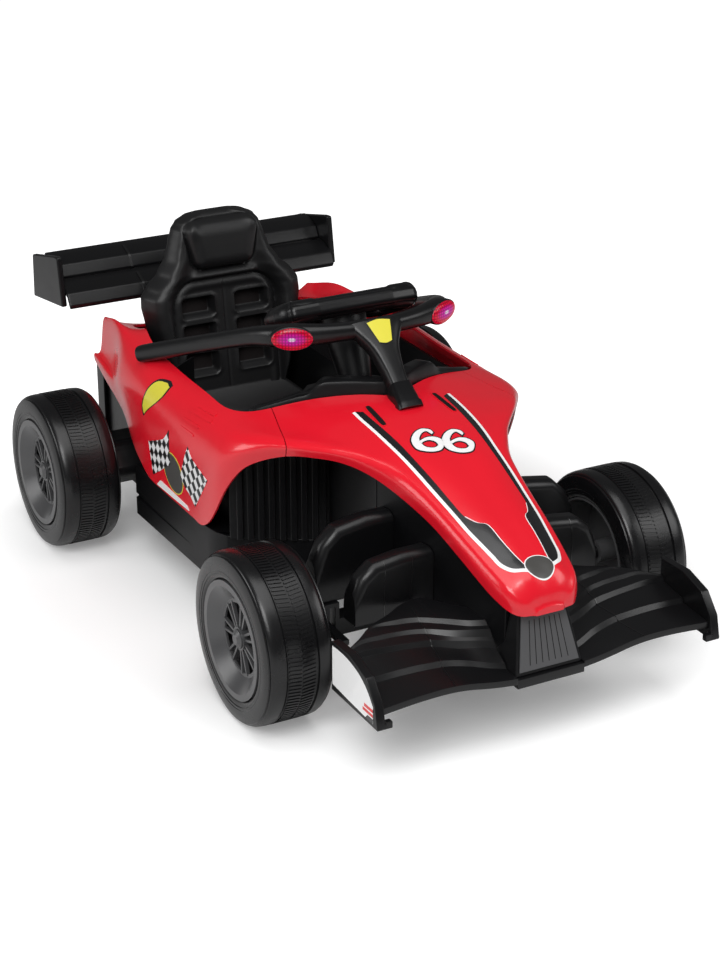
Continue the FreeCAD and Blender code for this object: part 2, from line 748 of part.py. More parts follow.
def socket_hole(y):
    """The room for the charging socket through a wall at a place along the car."""
    start = point(0, y - OVERRUN, SOCKET_Z)
    return rod(start, start + point(0, 2 * OVERRUN, 0), SOCKET_RADIUS + FIT_GAP)


def cockpit_cut_ring():
    """The space that the red flange round the cockpit takes, with its gap."""
    low = BODY_TOP_Z - COCKPIT_FLANGE_DEPTH - SHELL_GAP
    ring = cockpit_prism(SHELL_WALL + SHELL_GAP).cut(cockpit_prism(-SHELL_GAP))
    keep = block((-BODY_HALF_WIDTH, along(-1), low), (BODY_HALF_WIDTH, along(2), BODY_TOP_Z + OVERRUN))
    return ring.common(keep)


def side_sill():
    """The left sill: a stepped black side that wraps forward under the radiator."""
    front = radiator_line(-FLOOR_WALL)
    back = radiator_line(RADIATOR_THICKNESS)
    inner_x = TUB_SIDE_SHARE * BODY_HALF_WIDTH + SHELL_GAP
    rear_y = along(SILL_REAR_SHARE)
    foot_x = FOOT_HALF_WIDTH + SHELL_GAP
    corners = [(u * SILL_HALF_WIDTH, along(v)) for u, v in SILL_CORNER_SHARES]
    outline = [
        (inner_x, rear_y),
        (SILL_HALF_WIDTH, rear_y),
        *corners,
        on_line(front, foot_x),
        on_line(back, foot_x),
        on_line(back, inner_x),
    ]
    sill = prism(outline, FLOOR_Z, SILL_TOP_Z)
    groove_z = FLOOR_Z + SILL_GROOVE_SHARE * (SILL_TOP_Z - FLOOR_Z)
    groove = block(
        (SILL_HALF_WIDTH - SILL_GROOVE_DEPTH, along(SILL_CORNER_SHARES[0][1]), groove_z),
        (SILL_HALF_WIDTH + OVERRUN, rear_y + OVERRUN, groove_z + SILL_GROOVE_HEIGHT),
    )
    hollow = block(
        (inner_x + SILL_WALL, along(SILL_CORNER_SHARES[0][1]), FLOOR_Z - OVERRUN),
        (SILL_HALF_WIDTH - SILL_GROOVE_DEPTH - SILL_WALL, rear_y - SILL_WALL, SILL_TOP_Z - SILL_WALL),
    )
    return sill.cut(groove).cut(hollow)


def radiator(under_shell):
    """The left radiator panel: upright ribs on a plate that fills the arch between nose and side pod."""
    inner, outer = radiator_line(0)
    back_inner, back_outer = radiator_line(RADIATOR_THICKNESS)
    panel = prism([inner, outer, back_outer, back_inner], SILL_TOP_Z, BODY_TOP_Z)
    du, dv = unit(outer[0] - inner[0], outer[1] - inner[1])
    length = math.hypot(outer[0] - inner[0], outer[1] - inner[1])
    pitch = length / (RADIATOR_RIBS + 1)
    for i in range(RADIATOR_RIBS):
        middle = (i + 1) * pitch
        ends = [middle - RIB_WIDTH / 2, middle + RIB_WIDTH / 2]
        face = [(inner[0] + du * s, inner[1] + dv * s) for s in ends]
        tip = [(u + dv * RIB_DEPTH, v - du * RIB_DEPTH) for u, v in reversed(face)]
        panel = panel.fuse(prism(face + tip, SILL_TOP_Z, BODY_TOP_Z))
    return panel.removeSplitter().common(under_shell)


def nose_box_outline(grow):
    """The plan of the nose box, from the tub's front wall to the nose tip, wider by a distance."""
    front_y = FRONT_AXLE_Y - NOSE_BOX_TIP_SHARE * NOSE_OVERHANG - grow
    rear_y = along(FOOT_FRONT_SHARE) - SHELL_GAP + min(grow, 0)
    tip = NOSE_BOX_TIP_HALF + grow
    base = FOOT_HALF_WIDTH + grow
    return [(-base, rear_y), (-tip, front_y), (tip, front_y), (base, rear_y)]


def nose_box(under_shell):
    """The black box under the nose cover, open at the top."""
    outer = prism(nose_box_outline(0), NOSE_BOX_Z, BODY_TOP_Z)
    inner = prism(nose_box_outline(-NOSE_BOX_WALL), NOSE_BOX_Z + NOSE_BOX_WALL, BODY_TOP_Z + OVERRUN)
    return outer.cut(inner).common(under_shell)


def pylon_outline(share_pair, half, z):
    """One level of the pylon as a four sided wire."""
    front = FRONT_AXLE_Y - share_pair[0] * NOSE_OVERHANG
    rear = FRONT_AXLE_Y - share_pair[1] * NOSE_OVERHANG
    corners = [point(-half, front, z), point(half, front, z), point(half, rear, z), point(-half, rear, z)]
    return Part.makePolygon(corners + corners[:1])


def nose_pylon():
    """The tapered post between the front wing and the nose, in front of the nose box."""
    top_z = height(PYLON_TOP_Z_SHARE)
    wires = [
        pylon_outline(PYLON_FOOT_SHARES, PYLON_FOOT_HALF, NOSE_BOX_Z),
        pylon_outline(PYLON_TOP_SHARES, PYLON_TOP_HALF, top_z),
    ]
    post = Part.makeLoft(wires, True, True)
    post = post.cut(prism(nose_box_outline(FIT_GAP), FLOOR_Z, BODY_TOP_Z)).cut(body_loft(-SHELL_GAP))
    return min(post.Solids, key=lambda piece: piece.BoundBox.ZMin)


def pylon_front(share, lift):
    """A point on the pylon's sloping front face: a share of its height, lifted off it by a distance."""
    foot_y = FRONT_AXLE_Y - PYLON_FOOT_SHARES[0] * NOSE_OVERHANG
    top_y = FRONT_AXLE_Y - PYLON_TOP_SHARES[0] * NOSE_OVERHANG
    top_z = height(PYLON_TOP_Z_SHARE)
    along_face = unit(top_y - foot_y, top_z - NOSE_BOX_Z)
    y = foot_y + share * (top_y - foot_y) - along_face[1] * lift
    z = NOSE_BOX_Z + share * (top_z - NOSE_BOX_Z) + along_face[0] * lift
    half = PYLON_FOOT_HALF + share * (PYLON_TOP_HALF - PYLON_FOOT_HALF) - GRILLE_MARGIN
    return half, y, z


def pylon_grille():
    """The grey insert on the pylon's front face."""
    wires = []
    for lift in (0, GRILLE_THICKNESS):
        corners = []
        for share, sides in ((GRILLE_LOW_SHARE, (-1, 1)), (GRILLE_HIGH_SHARE, (1, -1))):
            half, y, z = pylon_front(share, lift)
            corners += [point(side * half, y, z) for side in sides]
        wires.append(Part.makePolygon(corners + corners[:1]))
    return Part.makeLoft(wires, True, True)


def fairing_fin(middle_share, span, top_z, low_z):
    """One upright fin of the fairing, flat on top and rounded down towards the wheel."""
    y = FRONT_AXLE_Y - middle_share * NOSE_OVERHANG
    depth = top_z - low_z
    outline = [(NOSE_BOX_TIP_HALF, low_z), (NOSE_BOX_TIP_HALF, top_z), (FAIRING_FLAT_SHARE * span, top_z)]
    outline += [(u * span, low_z + v * depth) for u, v in FAIRING_SHARES]
    outline += [(span, low_z + FAIRING_TIP_SHARE * depth), (span, low_z)]
    fin = prism(outline, y - FAIRING_THICKNESS / 2, y + FAIRING_THICKNESS / 2, "xz")
    high = [edge for edge in fin.Edges if edge.BoundBox.ZMin > low_z + OVERRUN]
    crest = [edge for edge in high if edge.BoundBox.YLength == 0]
    return fin.makeFillet(FAIRING_ROUND, [edge for edge in crest if edge.BoundBox.XLength > 0])


def front_fairing():
    """The left fairing: two stepped fins on one base, beside the nose box."""
    low_z = AXLE_Z + KNUCKLE_HEIGHT / 2 + EAR_THICKNESS + FIT_GAP
    rear = fairing_fin(REAR_FAIRING_SHARE, REAR_FAIRING_HALF_WIDTH, REAR_FAIRING_TOP_Z, low_z)
    front = fairing_fin(FRONT_FAIRING_SHARE, FRONT_FAIRING_HALF_WIDTH, FRONT_FAIRING_TOP_Z, low_z)
    front_y = FRONT_AXLE_Y - FRONT_FAIRING_SHARE * NOSE_OVERHANG
    rear_y = FRONT_AXLE_Y - REAR_FAIRING_SHARE * NOSE_OVERHANG
    base = block(
        (NOSE_BOX_TIP_HALF, front_y, low_z),
        (FAIRING_FLAT_SHARE * FRONT_FAIRING_HALF_WIDTH, rear_y, low_z + FAIRING_BASE),
    )
    fins = rear.fuse(front).fuse(base).removeSplitter()
    return fins.cut(prism(nose_box_outline(FIT_GAP), FLOOR_Z, BODY_TOP_Z))


def wing_section(across, rear, lip, rise, blend):
    """One section of the front wing: a stepped top line between inner and outer ones, and an underside."""
    x = across * WING_HALF_SPAN
    front_y = CAR_FRONT_Y + ENDPLATE_FOOT
    chord = rear * FRONT_OVERHANG
    lip_z = WING_LIP_Z + lip * WING_RISE
    thick = NOSE_BOX_Z - WING_LIP_Z if rise == 0 else WING_THICKNESS
    top = []
    for (u0, v0), (u1, v1) in zip(WING_INNER_SHARES, WING_OUTER_SHARES):
        u = u0 + blend * (u1 - u0)
        v = v0 + blend * (v1 - v0)
        top.append(point(x, front_y + u * chord, lip_z + thick + rise * v * WING_RISE))
    rear_y = front_y + chord
    under = [point(p.x, min(p.y + WING_THICKNESS / 2, rear_y), p.z - thick) for p in reversed(top[1:])]
    corners = top + under + [top[0] - point(0, 0, thick)]
    return Part.makePolygon(corners + corners[:1])


def front_wing():
    """The front wing: a plank under the nose that rises in steps towards the wheels on both sides."""
    tables = (WING_ACROSS_SHARES, WING_REAR_SHARES, WING_LIP_SHARES, WING_RISE_SHARES, WING_BLEND_SHARES)
    rows = list(zip(*tables))
    whole = [(-x, *rest) for x, *rest in reversed(rows[1:])] + rows
    wing = Part.makeLoft([wing_section(*row) for row in whole], True, True)
    level = prism(nose_box_outline(SHELL_GAP), NOSE_BOX_Z, BODY_TOP_Z)
    post_half = PYLON_FOOT_HALF + SHELL_GAP
    post_front = FRONT_AXLE_Y - PYLON_FOOT_SHARES[0] * NOSE_OVERHANG - SHELL_GAP
    post = block((-post_half, post_front, NOSE_BOX_Z), (post_half, FRONT_AXLE_Y, BODY_TOP_Z))
    return wing.cut(level).cut(post)


def wing_endplate():
    """The left endplate of the front wing, with the foot along its lower edge."""
    low_z = WING_LIP_Z
    inner_x = WING_HALF_SPAN + FIT_GAP
    top = [(CAR_FRONT_Y + u * ENDPLATE_LENGTH, low_z + v * ENDPLATE_HEIGHT) for u, v in ENDPLATE_TOP_SHARES]
    outline = [(CAR_FRONT_Y, low_z), (CAR_FRONT_Y + ENDPLATE_LENGTH, low_z)] + top
    plate = prism(outline, inner_x, inner_x + ENDPLATE_THICKNESS, "yz")
    foot = block(
        (inner_x - ENDPLATE_FOOT, CAR_FRONT_Y, low_z),
        (inner_x, CAR_FRONT_Y + ENDPLATE_FOOT - FIT_GAP, low_z + ENDPLATE_FOOT),
    )
    return plate.fuse(foot).removeSplitter()


def plane_section(front_y, front_z):
    """The outline of one wing plane, pitched up towards its trailing edge."""
    pitch = math.radians(PLANE_PITCH_DEG)
    upper = [(u * PLANE_CHORD, PLANE_THICKNESS + v * PLANE_CHORD) for u, v in PLANE_SHARES]
    lower = [(u, v - PLANE_THICKNESS) for u, v in reversed(upper)]
    turned = []
    for u, v in upper + lower:
        y = front_y + u * math.cos(pitch) - v * math.sin(pitch)
        z = front_z + u * math.sin(pitch) + v * math.cos(pitch)
        turned.append((y, z))
    return turned


def rear_plane(place_shares):
    """One plane of the rear wing, right across between the endplates."""
    front_y = CAR_REAR_Y - REAR_ENDPLATE_LENGTH + place_shares[0] * REAR_ENDPLATE_LENGTH
    front_z = REAR_WING_LOW_Z + place_shares[1] * REAR_ENDPLATE_HEIGHT
    return prism(plane_section(front_y, front_z), -REAR_WING_HALF_SPAN, REAR_WING_HALF_SPAN, "yz")


def rear_endplate():
    """The left endplate of the rear wing."""
    front_y = CAR_REAR_Y - REAR_ENDPLATE_LENGTH
    outline = [
        (front_y + u * REAR_ENDPLATE_LENGTH, REAR_WING_LOW_Z + v * REAR_ENDPLATE_HEIGHT)
        for u, v in REAR_ENDPLATE_SHARES
    ]
    return prism(outline, REAR_WING_HALF_SPAN, REAR_WING_HALF_SPAN + REAR_ENDPLATE_THICKNESS, "yz")


def tail_panel():
    """The black panel that closes the tail behind the tub, with the shelf that the wing posts stand on."""
    front_y = along(TUB_REAR_SHARE) + SHELL_GAP
    rear_y = along(2) + TAIL_WALL
    half = TAIL_STATION_SHARES[-1][1] * BODY_HALF_WIDTH - SHELL_WALL - SHELL_GAP
    top_z = height(TAIL_STATION_SHARES[-1][6]) - SHELL_GAP
    panel = block((-half, front_y, FLOOR_Z), (half, rear_y, top_z))
    hollow = block(
        (-half + TAIL_WALL, front_y - OVERRUN, FLOOR_Z + TAIL_WALL),
        (half - TAIL_WALL, rear_y - TAIL_WALL, top_z - TAIL_WALL),
    )
    panel = panel.cut(hollow)
    shelf = block(
        (-POST_X - POST_WIDTH, rear_y - TAIL_WALL, top_z),
        (POST_X + POST_WIDTH, rear_y + POST_LENGTH, top_z + TAIL_WALL),
    )
    brace = block(
        (-POST_X - POST_WIDTH, rear_y - TAIL_WALL, top_z - TAIL_WALL),
        (POST_X + POST_WIDTH, rear_y + TAIL_WALL, top_z),
    )
    panel = panel.fuse(shelf).fuse(brace).removeSplitter()
    panel = panel.cut(socket_hole(rear_y))
    return panel, rear_y, top_z + TAIL_WALL


def rear_wing_posts(main_plane, shelf_rear_y, shelf_z):
    """Two upright posts from the tail shelf to the underside of the main plane."""
    top_z = REAR_WING_LOW_Z + REAR_ENDPLATE_HEIGHT
    foot = (shelf_rear_y + FIT_GAP, shelf_rear_y + POST_LENGTH - FIT_GAP)
    outline = [
        (foot[0], shelf_z),
        (foot[1], shelf_z),
        (foot[1] + POST_RAKE, top_z),
        (foot[0] + POST_RAKE, top_z),
    ]
    lowered = main_plane.copy()
    lowered.translate(point(0, 0, -FIT_GAP))
    posts = []
    for side in (-1, 1):
        middle = side * POST_X
        post = prism(outline, middle - POST_WIDTH / 2, middle + POST_WIDTH / 2, "yz")
        posts.append(min(post.cut(lowered).Solids, key=lambda piece: piece.BoundBox.ZMin))
    return Part.makeCompound(posts)


def seat_outline():
    """The seat back's outline seen from the front, drawn upright."""
    depth = SEAT_TOP_Z - SEAT_PAN_Z
    half = [(u * SEAT_HALF_WIDTH, SEAT_PAN_Z + v * depth) for u, v in SEAT_OUTLINE_SHARES]
    return half + [(-x, z) for x, z in reversed(half[:-1])]


def leaned(shape):
    """Leans a piece of the seat back about the rear of the pan."""
    turned = shape.copy()
    turned.rotate(point(0, along(SEAT_BACK_SHARE), SEAT_PAN_Z), point(1, 0, 0), -SEAT_LEAN_DEG)
    return turned


def seat_shell():
    """The bucket seat: a leaning back with recessed windows, a pan, and legs down to the tub floor."""
    front_y = along(SEAT_BACK_SHARE)
    corners = [point(x, front_y, z) for x, z in seat_outline()]
    curve = Part.BSplineCurve()
    curve.interpolate(Points=corners)
    wire = Part.Wire([curve.toShape(), Part.LineSegment(corners[-1], corners[0]).toShape()])
    back = Part.Face(wire).extrude(point(0, SEAT_THICKNESS, 0))
    flat = [edge for edge in back.Edges if edge.BoundBox.YLength < FIT_GAP]
    back = back.makeFillet(SEAT_ROUND, [edge for edge in flat if edge.BoundBox.ZLength > SEAT_ROUND])
    depth = SEAT_TOP_Z - SEAT_PAN_Z
    low_z = SEAT_PAN_Z + BACK_PANEL_SHARES[0] * depth
    high_z = SEAT_PAN_Z + BACK_PANEL_SHARES[1] * depth
    pitch = (high_z - low_z) / WINDOW_ROWS
    for row in range(WINDOW_ROWS):
        for side in (-1, 1):
            sides = sorted(side * share * BACK_PANEL_HALF_WIDTH for share in WINDOW_COLUMN_SHARES)
            window = block(
                (sides[0], front_y - OVERRUN, low_z + row * pitch),
                (sides[1], front_y + BACK_PANEL_RECESS, low_z + (row + WINDOW_SHARE) * pitch),
            )
            back = back.cut(window)
    hollow = block(
        (-BACK_PANEL_HALF_WIDTH, front_y + BACK_PANEL_RECESS + BACK_PANEL_WALL, low_z),
        (BACK_PANEL_HALF_WIDTH, front_y + SEAT_THICKNESS + OVERRUN, high_z),
    )
    back = back.cut(hollow)
    pan_half = SEAT_OUTLINE_SHARES[0][0] * SEAT_HALF_WIDTH
    pan = block(
        (-pan_half, SEAT_FRONT_Y, SEAT_PAN_Z - SEAT_PAN_THICKNESS),
        (pan_half, front_y + SEAT_THICKNESS, SEAT_PAN_Z),
    )
    front_leg = block(
        (-pan_half, SEAT_FRONT_Y, FLOOR_TOP_Z),
        (pan_half, SEAT_FRONT_Y + SEAT_PAN_THICKNESS, SEAT_PAN_Z),
    )
    rear_leg = block(
        (-pan_half, front_y + SEAT_THICKNESS - SEAT_PAN_THICKNESS, FLOOR_TOP_Z),
        (pan_half, front_y + SEAT_THICKNESS, SEAT_PAN_Z),
    )
    return leaned(back).fuse(pan).fuse(front_leg).fuse(rear_leg).removeSplitter()


def headrest_pad():
    """The headrest pad on the seat back: a rounded cushion, wider at the top than at its foot."""
    low_z = SEAT_PAN_Z + HEADREST_LOW_SHARE * (SEAT_TOP_Z - SEAT_PAN_Z)
    back_y = along(SEAT_BACK_SHARE) - FIT_GAP
    foot = HEADREST_FOOT_SHARE * HEADREST_HALF_WIDTH
    top_z = low_z + HEADREST_HEIGHT
    outline = [(-foot, low_z), (foot, low_z), (HEADREST_HALF_WIDTH, top_z), (-HEADREST_HALF_WIDTH, top_z)]
    pad = prism(outline, back_y - HEADREST_CROWN, back_y, "xz")
    pad = pad.makeFillet(HEADREST_CORNER, [edge for edge in pad.Edges if edge.BoundBox.YLength > FIT_GAP])
    face = [edge for edge in pad.Edges if edge.BoundBox.YMax < back_y - HEADREST_CROWN + FIT_GAP]
    return leaned(pad.makeFillet(HEADREST_ROUND, face))


def bent_path(corner_points, radius):
    """Straight runs joined by one tangent arc at the middle corner."""
    start, corner, end = corner_points
    back = (start - corner).normalize()
    ahead = (end - corner).normalize()
    half_angle = math.acos(back.dot(ahead)) / 2
    reach = radius / math.tan(half_angle)
    first = corner + back * reach
    last = corner + ahead * reach
    middle = corner + (back + ahead).normalize() * (radius / math.sin(half_angle) - radius)
    arc = Part.Arc(first, middle, last).toShape()
    return Part.Wire([Part.LineSegment(start, first).toShape(), arc, Part.LineSegment(last, end).toShape()])


def halo_points():
    """The left arm of the halo: its rear end, its lamp and the middle of the bar."""
    end = point(HALO_END_X, along(HALO_END_SHARE), height(HALO_END_HEIGHT_SHARE))
    lamp = point(HALO_LAMP_X, along(HALO_LAMP_SHARE), HALO_BAR_Z)
    middle = point(0, along(HALO_BAR_SHARE), HALO_BAR_Z)
    return end, lamp, middle


def in_lamp_frame(shape):
    """Moves a piece drawn facing -Y at the origin to the left lamp, turned outwards."""
    turned = shape.copy()
    turned.rotate(point(0, 0, 0), point(0, 0, 1), LENS_ANGLE_DEG)
    turned.translate(halo_points()[1])
    return turned


def oval(length, depth, tall):
    """A flattened ball, used for lenses and their bezels."""
    shape = Part.makeSphere(1.0)
    scale = FreeCAD.Matrix()
    scale.scale(length / 2, depth, tall / 2)
    return shape.transformGeometry(scale)


def oval_plate(length, tall, near_y, far_y):
    """A flat oval plate in the XZ plane between two depths."""
    ellipse = Part.Ellipse(point(0, near_y, 0), length / 2, tall / 2)
    ellipse.XAxis = point(1, 0, 0)
    ellipse.Axis = point(0, 1, 0)
    ellipse.Center = point(0, near_y, 0)
    return Part.Face(Part.Wire(ellipse.toShape())).extrude(point(0, far_y - near_y, 0))


def pillar_wire(share, width_share):
    """One level of the halo's pillar: a rectangle with round corners, a share of the way up to the bar."""
    middle = halo_points()[2]
    foot_y = along(PILLAR_FOOT_SHARE)
    foot_z = BODY_TOP_Z - OVERRUN
    y = foot_y + share * (middle.y - PILLAR_DEPTH / 2 - foot_y)
    z = foot_z + share * (HALO_BAR_Z + HALO_RADIUS - PILLAR_ROUND - foot_z)
    half = width_share * PILLAR_WIDTH / 2
    wide = half - PILLAR_ROUND
    deep = PILLAR_DEPTH - PILLAR_ROUND
    bend = PILLAR_ROUND * (1 - math.sqrt(1 / 2))
    corners = [
        (point(half, y + PILLAR_ROUND, z), point(half, y + deep, z)),
        (point(wide, y + PILLAR_DEPTH, z), point(-wide, y + PILLAR_DEPTH, z)),
        (point(-half, y + deep, z), point(-half, y + PILLAR_ROUND, z)),
        (point(-wide, y, z), point(wide, y, z)),
    ]
    bends = [
        point(half - bend, y + PILLAR_DEPTH - bend, z),
        point(bend - half, y + PILLAR_DEPTH - bend, z),
        point(bend - half, y + bend, z),
        point(half - bend, y + bend, z),
    ]
    edges = []
    for (start, end), turning, (after, _) in zip(corners, bends, corners[1:] + corners[:1]):
        edges.append(Part.LineSegment(start, end).toShape())
        edges.append(Part.Arc(end, turning, after).toShape())
    return Part.Wire(edges)


def halo(over_shell):
    """The black halo: a bar across the cockpit, arms back to the shoulders and a pillar to the nose."""
    end, lamp, middle = halo_points()
    path = bent_path((end, lamp, middle), HALO_BEND_RADIUS)
    run = (lamp - end).normalize()
    circle = Part.Wire(Part.Circle(end, run, HALO_RADIUS).toShape())
    arm = path.makePipeShell([circle], True, False)
    rim = 2 * BEZEL_MARGIN
    bezel = oval_plate(LENS_LENGTH + rim, LENS_HEIGHT + rim, -HALO_RADIUS - BEZEL_MARGIN, 0)
    seat = oval_plate(LENS_LENGTH + FIT_GAP, LENS_HEIGHT + FIT_GAP, -HALO_RADIUS - OVERRUN, -HALO_RADIUS)
    arm = arm.fuse(in_lamp_frame(bezel)).cut(in_lamp_frame(seat))
    pillar = Part.makeLoft([pillar_wire(*shares) for shares in PILLAR_SHARES], True, True)
    ball = Part.makeSphere(HALO_RADIUS, middle)
    whole = arm.fuse(mirrored(arm)).fuse(ball).fuse(pillar)
    return whole.cut(over_shell)


def halo_lens():
    """The left lit lens, a crowned oval that sits on the floor of its bezel."""
    plate = oval_plate(LENS_LENGTH, LENS_HEIGHT, -HALO_RADIUS - BEZEL_MARGIN, -HALO_RADIUS)
    ball = oval(LENS_LENGTH, LENS_CROWN, LENS_HEIGHT)
    ball.translate(point(0, -HALO_RADIUS - BEZEL_MARGIN, 0))
    half = LENS_LENGTH
    behind = block((-half, -HALO_RADIUS - BEZEL_MARGIN, -half), (half, half, half))
    return in_lamp_frame(plate.fuse(ball.cut(behind)).removeSplitter())


def dash_panel():
    """The black dash shelf under the cockpit's front edge, with the collar round the steering column."""
    room = cockpit_prism(-SHELL_GAP)
    rear = [plan(shares) for shares in DASH_REAR_SHARES]
    front_y = along(0)
    outline = [(BODY_HALF_WIDTH, front_y), (BODY_HALF_WIDTH, rear[0][1])] + rear
    whole = outline + [(-x, y) for x, y in reversed(outline[:-1])]
    shelf = prism(whole, DASH_Z - DASH_THICKNESS, DASH_Z).common(room)
    collar_radius = BOSS_FOOT_RADIUS + DASH_COLLAR_WALL
    drop = (STEERING_HUB_Z - DASH_Z) / math.cos(math.radians(COLUMN_TILT_DEG))
    reach = collar_radius * math.tan(math.radians(COLUMN_TILT_DEG)) + DASH_THICKNESS
    foot = point(0, 0, -drop - reach)
    collar = in_column_frame(rod(foot, point(0, 0, -drop + DASH_COLLAR_HEIGHT), collar_radius))
    low = block((-BODY_HALF_WIDTH, along(0), FLOOR_Z), (BODY_HALF_WIDTH, along(1), DASH_Z - DASH_THICKNESS))
    panel = shelf.fuse(collar.cut(low))
    bore = rod(point(0, 0, -drop - 2 * reach), point(0, 0, 0), COLUMN_RADIUS + RUN_GAP)
    panel = panel.cut(in_column_frame(bore))
    control_y = along(DASH_CONTROL_SHARE)
    under = point(SWITCH_X, control_y, DASH_Z - OVERRUN)
    panel = panel.cut(rod(under, under + point(0, 0, 2 * OVERRUN), SWITCH_RADIUS + FIT_GAP))
    half_length = ROCKER_LENGTH / 2 + WORK_GAP / 2
    half_width = ROCKER_WIDTH / 2 + FIT_GAP
    panel = panel.cut(block(
        (-SWITCH_X - half_width, control_y - half_length, DASH_Z - OVERRUN),
        (-SWITCH_X + half_width, control_y + half_length, DASH_Z + OVERRUN),
    ))
    pin_z = DASH_Z - DASH_THICKNESS / 2
    ends = [point(-SWITCH_X + side * half_width * 2, control_y, pin_z) for side in (-1, 1)]
    pin = rod(ends[0], ends[1], ROCKER_PIN_RADIUS)
    return panel.fuse(pin).removeSplitter(), drop


def power_button():
    """The round power button in the dash, with a collar under the shelf that stops it lifting out."""
    y = along(DASH_CONTROL_SHARE)
    top = DASH_Z + SWITCH_HEIGHT / 2
    low = DASH_Z - DASH_THICKNESS - FIT_GAP
    cap = rod(point(SWITCH_X, y, low), point(SWITCH_X, y, top), SWITCH_RADIUS)
    collar = rod(point(SWITCH_X, y, low - SWITCH_TRAVEL), point(SWITCH_X, y, low), SWITCH_RADIUS + WORK_GAP)
    return cap.fuse(collar).removeSplitter()


def direction_rocker():
    """The forward and reverse rocker on its pin across the dash."""
    y = along(DASH_CONTROL_SHARE)
    pin_z = DASH_Z - DASH_THICKNESS / 2
    half = ROCKER_LENGTH / 2
    top = DASH_Z + SWITCH_HEIGHT / 2
    outline = [
        (y - half, pin_z),
        (y - half, top + ROCKER_PIN_RADIUS),
        (y, top - ROCKER_PIN_RADIUS),
        (y + half, top + ROCKER_PIN_RADIUS),
        (y + half, pin_z),
        (y, DASH_Z - DASH_THICKNESS - ROCKER_PIN_RADIUS),
    ]
    rocker = prism(outline, -SWITCH_X - ROCKER_WIDTH / 2, -SWITCH_X + ROCKER_WIDTH / 2, "yz")
    reach = ROCKER_WIDTH
    return rocker.cut(rod(
        point(-SWITCH_X - reach, y, pin_z), point(-SWITCH_X + reach, y, pin_z), ROCKER_PIN_RADIUS + RUN_GAP
    ))


def steering_wheel():
    """The racing wheel: a flat bow tie shape with a hand hole and a button seat on each side."""
    half = [(u * STEERING_HALF_WIDTH, v * STEERING_DEPTH) for u, v in STEERING_OUTLINE_SHARES]
    outline = half + [(-x, y) for x, y in reversed(half[1:-1])]
    plate = prism(outline, -STEERING_THICKNESS / 2, STEERING_THICKNESS / 2)
    upright = [edge for edge in plate.Edges if edge.BoundBox.ZLength > FIT_GAP]
    outer = [edge for edge in upright if abs(edge.BoundBox.Center.x) > STEERING_RIM]
    plate = plate.makeFillet(STEERING_CORNER, outer)
    flat = [edge for edge in plate.Edges if edge.BoundBox.ZLength < FIT_GAP]
    plate = plate.makeFillet(STEERING_ROUND, flat)
    for side in (-1, 1):
        hole = [(side * u * STEERING_HALF_WIDTH, v * STEERING_DEPTH) for u, v in GRIP_HOLE_SHARES]
        plate = plate.cut(prism(hole, -STEERING_THICKNESS, STEERING_THICKNESS))
        seat_x = side * BUTTON_SPACING / 2
        low = STEERING_THICKNESS / 2 - BUTTON_HEIGHT
        seat = rod(point(seat_x, 0, low), point(seat_x, 0, STEERING_THICKNESS), BUTTON_RADIUS + FIT_GAP)
        plate = plate.cut(seat)
    bore = rod(point(0, 0, -STEERING_THICKNESS), point(0, 0, 0), COLUMN_RADIUS + FIT_GAP)
    return in_column_frame(plate.cut(bore))


def steering_button(side):
    """One round button on the face of the steering wheel."""
    x = side * BUTTON_SPACING / 2
    low = STEERING_THICKNESS / 2 - BUTTON_HEIGHT + BUTTON_TRAVEL + FIT_GAP
    cap = rod(point(x, 0, low), point(x, 0, low + BUTTON_HEIGHT), BUTTON_RADIUS)
    rim = [edge for edge in cap.Edges if edge.BoundBox.ZMin > low]
    return in_column_frame(cap.makeFillet(BUTTON_TRAVEL / 2, rim))


def steering_column():
    """The steel column, with the crank and its long pin at the foot."""
    bar = rod(point(0, 0, COLUMN_FOOT), point(0, 0, -FIT_GAP), COLUMN_RADIUS)
    half = CRANK_WIDTH / 2
    crank = block((-half, -CRANK_RADIUS, COLUMN_FOOT), (half, 0, COLUMN_FOOT + CRANK_THICKNESS))
    for end in (0, -CRANK_RADIUS):
        foot = point(0, end, COLUMN_FOOT)
        crank = crank.fuse(rod(foot, foot + point(0, 0, CRANK_THICKNESS), half))
    low = COLUMN_FOOT - CRANK_PIN_LENGTH
    high = COLUMN_FOOT + CRANK_THICKNESS
    pin = rod(point(0, -CRANK_RADIUS, low), point(0, -CRANK_RADIUS, high), STEER_PIN_RADIUS)
    return in_column_frame(bar.fuse(crank).fuse(pin).removeSplitter())


def steering_boss(dash_drop):
    """The tapered plastic boss round the column, between the wheel and the dash collar."""
    top = -STEERING_THICKNESS / 2 - FIT_GAP
    foot = -dash_drop + DASH_COLLAR_HEIGHT + WORK_GAP / 2
    boss = Part.makeCone(BOSS_FOOT_RADIUS, BOSS_TOP_RADIUS, top - foot, point(0, 0, foot))
    bore = rod(point(0, 0, foot - OVERRUN), point(0, 0, top + OVERRUN), COLUMN_RADIUS + FIT_GAP)
    return in_column_frame(boss.cut(bore))


def slot_cut(x, middle_y, half_width, reach):
    """A round ended slot along Y through the tie rod."""
    low = TIE_ROD_Z - OVERRUN
    high = TIE_ROD_Z + OVERRUN
    body = block((x - half_width, middle_y - reach, low), (x + half_width, middle_y + reach, high))
    for end in (-reach, reach):
        body = body.fuse(rod(point(x, middle_y + end, low), point(x, middle_y + end, high), half_width))
    return body


